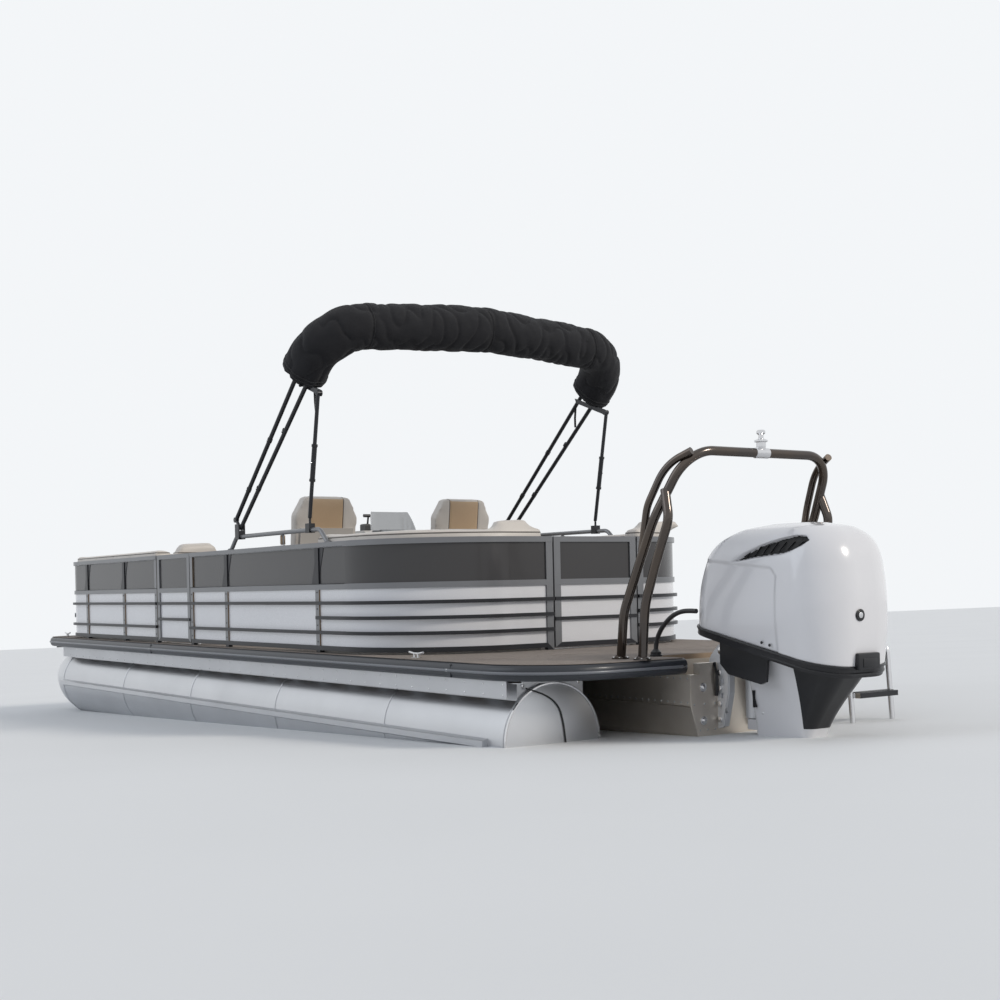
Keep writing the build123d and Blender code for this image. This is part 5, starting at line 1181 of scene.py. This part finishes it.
hull_parts = []
for side in (1, -1):
    y = side * TUBE_CENTRE
    for x in (-4.045, -2.80, -1.30, 0.20, 1.70, 3.35):
        hull_parts.append(("tube_aluminium", ring((x, y, TUBE_HEIGHT), TUBE_RADIUS + 0.0008, FORE, 0.0042)))
    hull_parts.append(("bright_steel", ring((TUBE_AFT - 0.001, y, TUBE_HEIGHT), TUBE_RADIUS - 0.004, FORE,
        0.0085)))
    hull_parts.append(("bright_steel", turned([(0, 0.020), (0.006, 0.020), (0.006, 0.012), (0.016, 0.012),
        (0.018, 0.009)], (-4.0685, y, -0.100), (-1, 0, 0), 6)))
    hull_parts.append(("tube_aluminium", slab([(4.00, y - 0.006, 0.36), (4.07, y - 0.006, 0.395),
        (4.115, y - 0.006, 0.37), (4.13, y - 0.006, 0.31), (4.06, y - 0.006, 0.30)], 0.012, (0, 1, 0))))
    for dy in (-0.185, 0.185):
        for z in (0.402, 0.470):
            hull_parts.append(("bright_steel", turned([(0, 0.010), (0.006, 0.010), (0.008, 0.007)],
                (-4.045, y + dy, z), (-1, 0, 0), 6)))
piece("hull_beads", "hull", hull_parts, 50)

rivet_lines = []
for side in (1, -1):
    y = side * (1.2435 + 0.0002)
    for z in (0.425, 0.480):
        rivet_lines.append(([(-4.05, y, z), (3.32, y, z)], (0, side, 0)))
row_of("skirt_rivets", "hull", RIVET, rivet_lines, 0.18, "bright_steel")

pod_lines = []
for side in (1, -1):
    for z in (0.350, 0.480):
        pod_lines.append(([(-4.47, side * 0.3302, z), (-3.40, side * 0.3302, z)], (0, side, 0)))
for z in (0.20, 0.34):
    pod_lines.append(([(-4.5002, -0.31 if z > 0.3 else -0.27, z), (-4.5002, -0.16, z)], (-1, 0, 0)))
    pod_lines.append(([(-4.5002, 0.16, z), (-4.5002, 0.31 if z > 0.3 else 0.27, z)], (-1, 0, 0)))
row_of("pod_rivets", "hull", RIVET, pod_lines, 0.052, "zinc_grey")
pod_beads = []
for side in (1, -1):
    pod_beads.append(("plate_aluminium", bar([(-4.498, side * 0.331, 0.500), (-4.498, side * 0.331, 0.330),
        (-4.498, side * 0.285, 0.170), (-4.498, 0.0, -0.100)], 0.005, 8)))
    pod_beads.append(("plate_aluminium", bar([(-4.49, side * 0.331, 0.330), (-3.55, side * 0.331, 0.330)],
        0.004, 8)))
piece("pod_beads", "hull", pod_beads, 60)

# Bumper insert, a lighter grey strip that is a painted highlight along the rub rail, and the rail's butt
# joints
bumper_parts = []
for loop in cut_loops(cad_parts["rub_rail"], (0, 0, 0.543), UP, 0.03):
    run = []
    for place in loop + loop[:1]:
        outside = abs(place.y) > 1.2915 or place.x > 3.7965 or place.x < -4.4265 or (place.x > 3.55
            and abs(place.y) > 1.045 and Vector((place.x - 3.55, abs(place.y) - 1.045)).length > 0.245) or (
            place.x < -3.93 and abs(place.y) > 0.795 and Vector(
            (place.x + 3.93, abs(place.y) - 0.795)).length > 0.495)
        if outside:
            run.append(place)
            continue
        if len(run) > 3:
            bumper_parts.append(("bumper_insert", bar(run, 0.0085, 8)))
        run = []
    if len(run) > 3:
        bumper_parts.append(("bumper_insert", bar(run, 0.0085, 8)))
for x, y, out in ((-3.62, 1.2955, (0, 1, 0)), (-3.62, -1.2955, (0, -1, 0)), (0.9, 1.2955, (0, 1, 0)),
        (0.9, -1.2955, (0, -1, 0))):
    side = 1 if y > 0 else -1
    bumper_parts.append(("bumper_rubber", plate((x - 0.004, y - side * 0.012, 0.505),
        (x + 0.004, y + side * 0.0008, 0.578), 0.002)))
    bumper_parts.append(("bright_steel", screw((x + 0.03, y + side * 0.004, 0.543), out, 0.008, 0.003)))
if bumper_parts:
    piece("bumper_trim", "hull", bumper_parts, 50)


# ---- fence: caps, screws, latches, lamp rims and post faces ----
def highlit_post_faces(centre, normal):
    """The fore- and aft-facing faces of the fence's uprights, which take the painted bronze highlight."""
    return abs(normal.x) > 0.9 and 0.64 < centre.z < 1.26 and centre.x < 3.3 and centre.x > -2.95


def fence_offset(x, y):
    """How far a point stands outside the fence's outer line."""
    if x > 0:
        radius = 0.350
        dx = x - (FENCE_BOW - radius)
    else:
        radius = 0.750 if y > 0 else 0.600
        dx = FENCE_STERN + radius - x
    dy = abs(y) - (FENCE_SIDE - radius)
    if dx > 0 and dy > 0:
        return math.hypot(dx, dy) - radius
    return max(dx, dy) - radius


def black_faces(centre, normal):
    """The trim rails and bottom rails of the fence."""
    trim = any(abs(centre.z - z) < 0.0125 for z in TRIM_RAILS)
    return (trim and fence_offset(centre.x, centre.y) > 0.0005) or centre.z < 0.637


SLANTED = [(2.700, 1), (1.727, 1), (-0.453, 1), (-1.908, 1), (-1.908, -1), (-0.453, -1), (1.880, -1),
    (2.700, -1)]


def slanted_faces(centre, normal):
    """The dark slanted bars and the posts behind them, in the upper band."""
    if not 1.034 < centre.z < 1.267:
        return False
    for x, side in SLANTED:
        lean = x + 0.0425 - 0.085 * (centre.z - 1.033) / 0.235
        if centre.y * side > 1.1 and abs(centre.x - lean) < 0.075:
            return True
    return False


# The uprights' fore and aft faces get the painted bronze highlight; trim rails and slanted bars go black
for node_name in ("fence_frame_port_fore", "fence_frame_port_aft", "fence_frame_stbd"):
    mark_faces(node_name, "post_bronze", highlit_post_faces)
    mark_faces(node_name, "trim_black", lambda c, n: black_faces(c, n) or slanted_faces(c, n))
for node_name in ("gate_port_frame", "gate_stern_frame", "gate_bow_frame"):
    mark_faces(node_name, "trim_black", lambda c, n: c.z < 0.637 or abs(c.z - 0.785) < 0.013
        or abs(c.z - 0.911) < 0.013)
for node_name in ("gate_port_panels", "gate_stern_panels", "gate_bow_panels"):
    mark_faces(node_name, "panel_charcoal", lambda c, n: c.z > 1.02)

fence_screws = []
for x in (2.700, 1.727, 0.965, 0.205, -0.453, -1.908):
    fence_screws.append(([(x, 1.2152, 0.66), (x, 1.2152, 0.98)], (0, 1, 0)))
for x in (-1.908, -0.453, 0.300, 1.055, 1.880, 2.700):
    fence_screws.append(([(x, -1.2152, 0.66), (x, -1.2152, 0.98)], (0, -1, 0)))
row_of("fence_screws", "hull", SCREW_HEAD, fence_screws, 0.106, "trim_black")


def post_foot(x, y, out):
    """The angle bracket that ties a post to the deck on its inner side."""
    inner = y - out * 0.032
    return [("bright_steel", plate((x - 0.022, inner - out * 0.006, DECK + 0.0005),
        (x + 0.022, inner, DECK + 0.060), 0.002)), ("bright_steel",
        plate((x - 0.022, inner - out * 0.046, DECK + 0.0005), (x + 0.022, inner - out * 0.004, DECK + 0.006),
        0.002)), ("bright_steel", screw((x, inner - out * 0.030, DECK + 0.006), (0, 0, 1), 0.007, 0.004))]


fence_parts = []
for x in (0.965, 0.205):
    fence_parts += post_foot(x, FENCE_SIDE, 1)
for x in (0.300, 1.055):
    fence_parts += post_foot(x, -FENCE_SIDE, -1)
# Rail bead along the top of the straight runs
for x0, x1, side in ((3.00, 0.945, 1), (0.225, -2.27, 1), (3.00, -2.42, -1)):
    fence_parts.append(("bright_steel", bar([(x0, side * 1.2185, 1.2715), (x1, side * 1.2185, 1.2715)], 0.003,
        8)))
    fence_parts.append(("trim_black", bar([(x0, side * 1.2155, 1.0335), (x1, side * 1.2155, 1.0335)], 0.0025,
        8)))
for side in (1, -1):
    for height, width, tall in ((0.800, 0.092, 0.052), (0.880, 0.052, 0.034)):
        direction = Vector((math.cos(math.radians(45)), side * math.sin(math.radians(45)), 0))
        across = Vector((-direction.y, direction.x, 0))
        centre = Vector((3.010, side * 0.865, height)) + direction * (0.362 if height < 0.85 else 0.356)
        rim = [centre + across * (width / 2 * math.cos(a)) + Vector((0, 0, tall / 2 * math.sin(a)))
            for a in [2 * math.pi * k / 36 for k in range(36)]]
        fence_parts.append(("trim_black", bar(rim, 0.0050, 8, closed=True)))
piece("fence_trim", "hull", fence_parts, 40)
mark_faces("bow_lamps", "lamp_red", lambda c, n: c.y > 0 and c.z > 0.85)
mark_faces("bow_lamps", "lamp_green", lambda c, n: c.y < 0 and c.z > 0.85)


def latch(place, along, out):
    """A gate latch: a backing plate, a turned knob and a sliding bolt."""
    place, along, out = Vector(place), Vector(along), Vector(out)
    base = slab([place + along * a + Vector((0, 0, b)) for a,
        b in ((-0.020, -0.035), (0.020, -0.035), (0.024, 0.0), (0.020, 0.035), (-0.020, 0.035),
        (-0.024, 0.0))], 0.004, out)
    knob = turned([(0.003, 0.008), (0.016, 0.007), (0.020, 0.013), (0.028, 0.014), (0.032, 0.009)], place,
        out, 20)
    bolt = bar([place + out * 0.009 + along * -0.020, place + out * 0.009 + along * 0.034], 0.0055, 10)
    return [("bright_steel", base), ("bright_steel", knob), ("bright_steel", bolt)]


for body_name, x, y, along, out in (("gate_port", 0.898, 1.1830, (1, 0, 0), (0, -1, 0)),
        ("gate_stern", -2.998, 0.094, (0, 1, 0), (1, 0, 0)),
        ("gate_bow", 3.328, 0.300, (0, 1, 0), (-1, 0, 0))):
    piece(body_name + "_latch", body_name, latch((x, y, 1.200), along, out)
        + latch((x, y, 0.860), along, out), 35)

# Grab rail ends and centre posts
rail_parts = []
for side in (1, -1):
    y = side * GRAB_RAIL_SIDE
    for x in (-0.5265, -2.0475):
        rail_parts.append(("rail_grey", turned([(0, 0.024), (0.004, 0.024), (0.008, 0.018), (0.010, 0.0165)],
            (x, y, RAIL_TOP), (0, 0, 1), 28)))
    rail_parts.append(("bright_steel", turned([(0, 0.017), (0.006, 0.017), (0.008, 0.0145)],
        (-1.388, y, RAIL_TOP), (0, 0, 1), 24)))
    # The centre post's plate takes the same painted bronze highlight
    rail_parts.append(("post_bronze", plate((-1.398, y - 0.0155, 1.312), (-1.378, y + 0.0155, 1.374), 0.003)))
piece("grab_rail_feet", "hull", rail_parts, 35)


# ---- canopy hardware ----
def leg_place(distance, drop, side):
    """A point beside the canopy's leg line."""
    a = CANOPY_RAKE
    return Vector((CANOPY_PIVOT_X - distance * math.cos(a) - drop * math.sin(a), side * GRAB_RAIL_SIDE,
        CANOPY_PIVOT_Z + distance * math.sin(a) - drop * math.cos(a)))


canopy_parts = []
for side in (1, -1):
    for distance, drop in ((0.30, -0.078), (0.78, -0.073), (0.42, 0.035), (0.98, 0.055)):
        place = leg_place(distance, drop, side)
        canopy_parts.append(("engine_black", turned([(-0.016, 0.0162), (-0.014, 0.0185), (0.014, 0.0185),
            (0.016, 0.0162)], place, LEG_AHEAD, 28)))
        canopy_parts.append(("bright_steel", screw(place + Vector((0, side * 0.0185, 0)), (0, side, 0), 0.005,
            0.003)))
    pivot = Vector((CANOPY_PIVOT_X, side * GRAB_RAIL_SIDE, CANOPY_PIVOT_Z))
    top = leg_place(1.44, -0.02, side)
    canopy_parts.append(("webbing_black", bar([top + Vector((0.03, -side * 0.10, -0.10)), top
        + Vector((0.035, -side * 0.105, -0.19)), top + Vector((0.030, -side * 0.108, -0.26))], 0.010, 8,
        squash=0.25)))
    canopy_parts.append(("bright_steel", turned([(0, 0.011), (0.002, 0.011), (0.003, 0.006)], pivot
        + Vector((0, side * 0.0205, 0)), (0, side, 0), 20)))
piece("canopy_clips", "canopy", canopy_parts, 40)

for side, name in ((1, "port"), (-1, "stbd")):
    eye = Vector((-1.958, side * GRAB_RAIL_SIDE, 2.272))
    foot = Vector((-1.800, side * GRAB_RAIL_SIDE, 1.477))
    along = (foot - eye).normalized()
    parts = []
    for share in (0.42, 0.70):
        parts.append(("engine_black", turned([(-0.010, 0.0175), (-0.008, 0.0205), (0.008, 0.0205),
            (0.010, 0.0175)], eye + (foot - eye) * share, along, 28)))
    parts.append(("bright_steel", turned([(0, 0.0080), (0.004, 0.0080), (0.006, 0.005)], eye
        + (foot - eye) * 0.56 + Vector((0, side * 0.0168, 0)), (0, side, 0), 16)))
    piece("canopy_strut_lock_" + name, "strut_" + name, parts, 40)


# ---- tow bar flanges and pylon fitting ----
tow_parts = []
for side in (1, -1):
    for x in (-4.205, -4.385):
        for k in range(4):
            a = math.radians(45 + 90 * k)
            tow_parts.append(("bright_steel", screw((x + 0.037 * math.cos(a), side * 0.570
                + 0.037 * math.sin(a), 0.598), (0, 0, 1), 0.0065, 0.004)))
        tow_parts.append(("tow_steel", turned([(0, 0.034), (0.004, 0.034), (0.010, 0.028), (0.014, 0.0258)],
            (x - 0.001, side * 0.570, 0.598), (0, 0, 1), 32)))
tow_parts.append(("bright_steel", turned([(-0.058, 0.010), (-0.054, 0.022), (-0.045, 0.0285), (0.045, 0.0285),
    (0.054, 0.022), (0.058, 0.010)], (-4.725, 0, 1.6775), (0, 1, 0), 36)))
piece("tow_bar_fittings", "hull", tow_parts, 35)


# ---- helm: dials, screen, switches, glove box, speaker grilles, wheel grips and cup holders ----
TOP_FLAT = 1.495
slope_low = Vector((0.230, -0.790, 1.352))
slope_high = Vector((0.475, -0.790, 1.495))
slope_along = (slope_high - slope_low).normalized()
slope_up = slope_along.cross(Vector((0, 1, 0))) * -1
if slope_up.z < 0:
    slope_up = -slope_up
slope_mid = (slope_low + slope_high) / 2 + slope_up * 0.0122


def dial(centre, normal, up, radius):
    """A round gauge: rim, face, ticks and needle."""
    normal, up = Vector(normal).normalized(), Vector(up).normalized()
    across = up.cross(normal).normalized()
    parts = [("bright_steel", turned([(0, radius), (0.007, radius), (0.009, radius * 0.94),
        (0.008, radius * 0.88), (0.003, radius * 0.86)], centre, normal, 40)),
        ("dial_face", turned([(0.0028, radius * 0.87), (0.0036, radius * 0.87)], centre, normal, 32))]
    for k in range(9):
        a = math.radians(-120 + 30 * k)
        ray = up * math.cos(a) + across * math.sin(a)
        start = centre + normal * 0.0040
        parts.append(("dial_mark", bar([start + ray * radius * 0.66, start + ray * radius * 0.80], 0.0011,
            4)))
    ray = up * math.cos(-0.7) + across * math.sin(-0.7)
    parts.append(("lamp_red", bar([centre + normal * 0.0046 - ray * radius * 0.1, centre + normal * 0.0046
        + ray * radius * 0.6], 0.0013, 4)))
    parts.append(("dash_black", turned([(0.0036, radius * 0.12), (0.0062, radius * 0.10)], centre, normal,
        16)))
    return parts


helm_parts = []
for y, radius in ((-0.985, 0.043), (-0.895, 0.036)):
    helm_parts += dial(Vector((slope_mid.x, y, slope_mid.z)), slope_up, slope_along, radius)
screen_centre = slope_mid + slope_along * 0.020 + Vector((0, 0.060, 0)) + slope_up * 0.0158
screen_corners = [screen_centre + slope_along * a + Vector((0, b, 0)) for a,
    b in ((-0.072, -0.115), (0.072, -0.115), (0.072, 0.115), (-0.072, 0.115))]
helm_parts.append(("screen_glass", slab(screen_corners, 0.0015, slope_up)))
for k in range(6):
    centre = slope_mid + slope_along * -0.098 + Vector((0, -0.06 + 0.042 * k, 0))
    corners = [centre + slope_along * a + Vector((0, b, 0)) for a,
        b in ((-0.011, -0.014), (0.011, -0.014), (0.011, 0.014), (-0.011, 0.014))]
    helm_parts.append(("dial_face", slab(corners, 0.005, slope_up)))
    helm_parts.append(("dial_mark", turned([(0.0048, 0.0020), (0.0056, 0.0020)], centre + slope_along * 0.004,
        slope_up, 8)))
# Glove box, speaker grille and cup holder on the console
helm_parts.append(("console_gloss", plate((0.246, -0.985, 1.060), (0.262, -0.620, 1.220), 0.006)))
helm_parts.append(("bright_steel", plate((0.242, -0.835, 1.190), (0.250, -0.770, 1.206), 0.003)))
for y, z in ((-0.93, 0.93), (-0.65, 0.93)):
    for radius in (0.060, 0.046, 0.032, 0.018):
        helm_parts.append(("dash_black", ring((0.2665, y, z), radius, FORE, 0.0035, 40)))
    helm_parts.append(("dash_black", turned([(0, 0.066), (0.004, 0.066), (0.005, 0.060)], (0.2705, y, z),
        (-1, 0, 0), 40)))
helm_parts.append(("bright_steel", ring((0.560, -1.020, TOP_FLAT + 0.0015), 0.040, UP, 0.004, 48)))
helm_parts.append(("dash_black", turned([(0, 0.038), (0.001, 0.037)], (0.560, -1.020, TOP_FLAT + 0.0002), UP,
    40)))
helm_parts.append(("bright_steel", ring((0.560, -0.920, TOP_FLAT + 0.0015), 0.032, UP, 0.0035, 48)))
piece("helm_dress", "hull", helm_parts, 35)

tilt = math.radians(28)
wheel_axis = Vector((-math.cos(tilt), 0, math.sin(tilt)))
wheel_centre = Vector((0.1692, -0.790, 1.3010))
wheel_side, wheel_up = square_to(wheel_axis)
wheel_parts = [("bright_steel", turned([(0.012, 0.034), (0.016, 0.034), (0.022, 0.024), (0.023, 0.006)],
    wheel_centre, wheel_axis, 36))]
for k in range(4):
    middle = math.radians(45 + 90 * k)
    arc = []
    for step in range(9):
        a = middle + math.radians(-18 + 4.5 * step)
        arc.append(wheel_centre + (wheel_side * math.cos(a) + wheel_up * math.sin(a)) * 0.172)
    wheel_parts.append(("vinyl_tan", bar(arc, 0.0138, 14)))
piece("wheel_grips", "wheel", wheel_parts, 40)


# ---- chairs: pedestal rings, hinge bosses and arm caps ----
for (x, y), body_name in ((HELM_CHAIR, "helm_chair"), (COMPANION_CHAIR, "companion_chair")):
    parts = []
    for side in (1, -1):
        parts.append(("bright_steel", turned([(0, 0.024), (0.006, 0.024), (0.009, 0.016)],
            (x - 0.050, y + side * 0.258, 1.225), (0, side, 0), 28)))
        parts.append(("dash_black", bar([(x + 0.10, y + side * 0.205, 0.955),
            (x + 0.19, y + side * 0.205, 0.948)], 0.008, 12)))
    piece(body_name + "_bosses", body_name, parts, 35)
pedestal_parts = []
for x, y in (HELM_CHAIR, COMPANION_CHAIR):
    pedestal_parts.append(("bright_steel", turned([(0, 0.062), (0.006, 0.062), (0.030, 0.050),
        (0.034, 0.0455)], (x, y, 0.602), UP, 40)))
    pedestal_parts.append(("dash_black", turned([(0, 0.052), (0.004, 0.054), (0.022, 0.054), (0.026, 0.0455)],
        (x, y, 0.880), UP, 40)))
    for k in range(6):
        a = math.radians(60 * k + 20)
        pedestal_parts.append(("bright_steel", screw((x + 0.115 * math.cos(a), y + 0.115 * math.sin(a),
            0.602), UP, 0.008, 0.004)))
piece("pedestal_dress", "hull", pedestal_parts, 35)


# ---- seats: base doors and their handles ----
base_parts = []
for side in (1, -1):
    face = side * 0.537
    for x0, x1 in ((1.36, 1.86), (2.02, 2.72)):
        y0, y1 = sorted((face - side * 0.006, face + side * 0.003))
        base_parts.append(("shell_grey", plate((x0, y0, 0.720), (x1, y1, 0.870), 0.004)))
        base_parts.append(("bright_steel", plate(((x0 + x1) / 2 - 0.03, y0 - (0.004 if side > 0 else 0),
            0.840), ((x0 + x1) / 2 + 0.03, y1 + (0.004 if side < 0 else 0), 0.852), 0.003)))
piece("seat_base_doors", "hull", base_parts, 35)


# ---- ladder treads, cleats and deck seams ----
tread_ribs = plate((-0.034, -0.150, 0.0), (-0.028, 0.150, 0.0030), 0.001)
ladder_lines = []
for number in range(4):
    z = -0.540 + 0.060 + 0.270 * number
    x = -4.710 + 0.090 * (z + 0.540) / 1.165
    ladder_lines.append(([(x - 0.008, -0.930, z + 0.0148), (x + 0.040, -0.930, z + 0.0148)], UP))
mark_faces("ladder", "trim_black", lambda c, n: abs(c.y + 0.930) < 0.152 and c.z < 0.50)
row_of("ladder_tread_ribs", "boarding_ladder", tread_ribs, ladder_lines, 0.0119, "engine_black")
ladder_parts = []
for y in LADDER_RAILS:
    ladder_parts.append(("engine_black", turned([(-0.016, 0.0165), (-0.012, 0.0185), (0.010, 0.0185),
        (0.014, 0.016)], (-4.7085, y, -0.528), (-0.077, 0, -0.997), 24)))
piece("ladder_feet", "boarding_ladder", ladder_parts, 35)

cleat_parts = []
for x, y in ((-3.120, 1.205), (-3.120, -1.205), (3.600, 1.120), (3.600, -1.120)):
    for dx in (-0.031, 0.031):
        cleat_parts.append(("bright_steel", screw((x + dx, y, 0.596), UP, 0.0055, 0.003)))
for y in LADDER_RAILS:
    for dx in (0.150, 0.220):
        for dy in (-0.024, 0.024):
            cleat_parts.append(("bright_steel", screw((-4.390 + dx, y + dy * 1.15, 0.596), UP, 0.0050,
                0.003)))
piece("fitting_screws", "hull", cleat_parts, 35)

deck_lines = []
for x in (-3.60, -1.20, 1.20):
    deck_lines.append(("floor_weave", bar([(x, -1.10, 0.5903), (x, 1.10, 0.5903)], 0.0025, 6, squash=0.4)))
piece("deck_seams", "hull", deck_lines, 60)
piece("gate_sills", "hull", [("bright_steel", plate((x0, y0, 0.5903), (x1, y1, 0.5940), 0.0015)) for x0, y0,
    x1, y1 in ((0.245, 1.130, 0.925, 1.176), (-2.990, -0.540, -2.950, 0.120), (3.275, -0.320, 3.320, 0.320))],
    35)
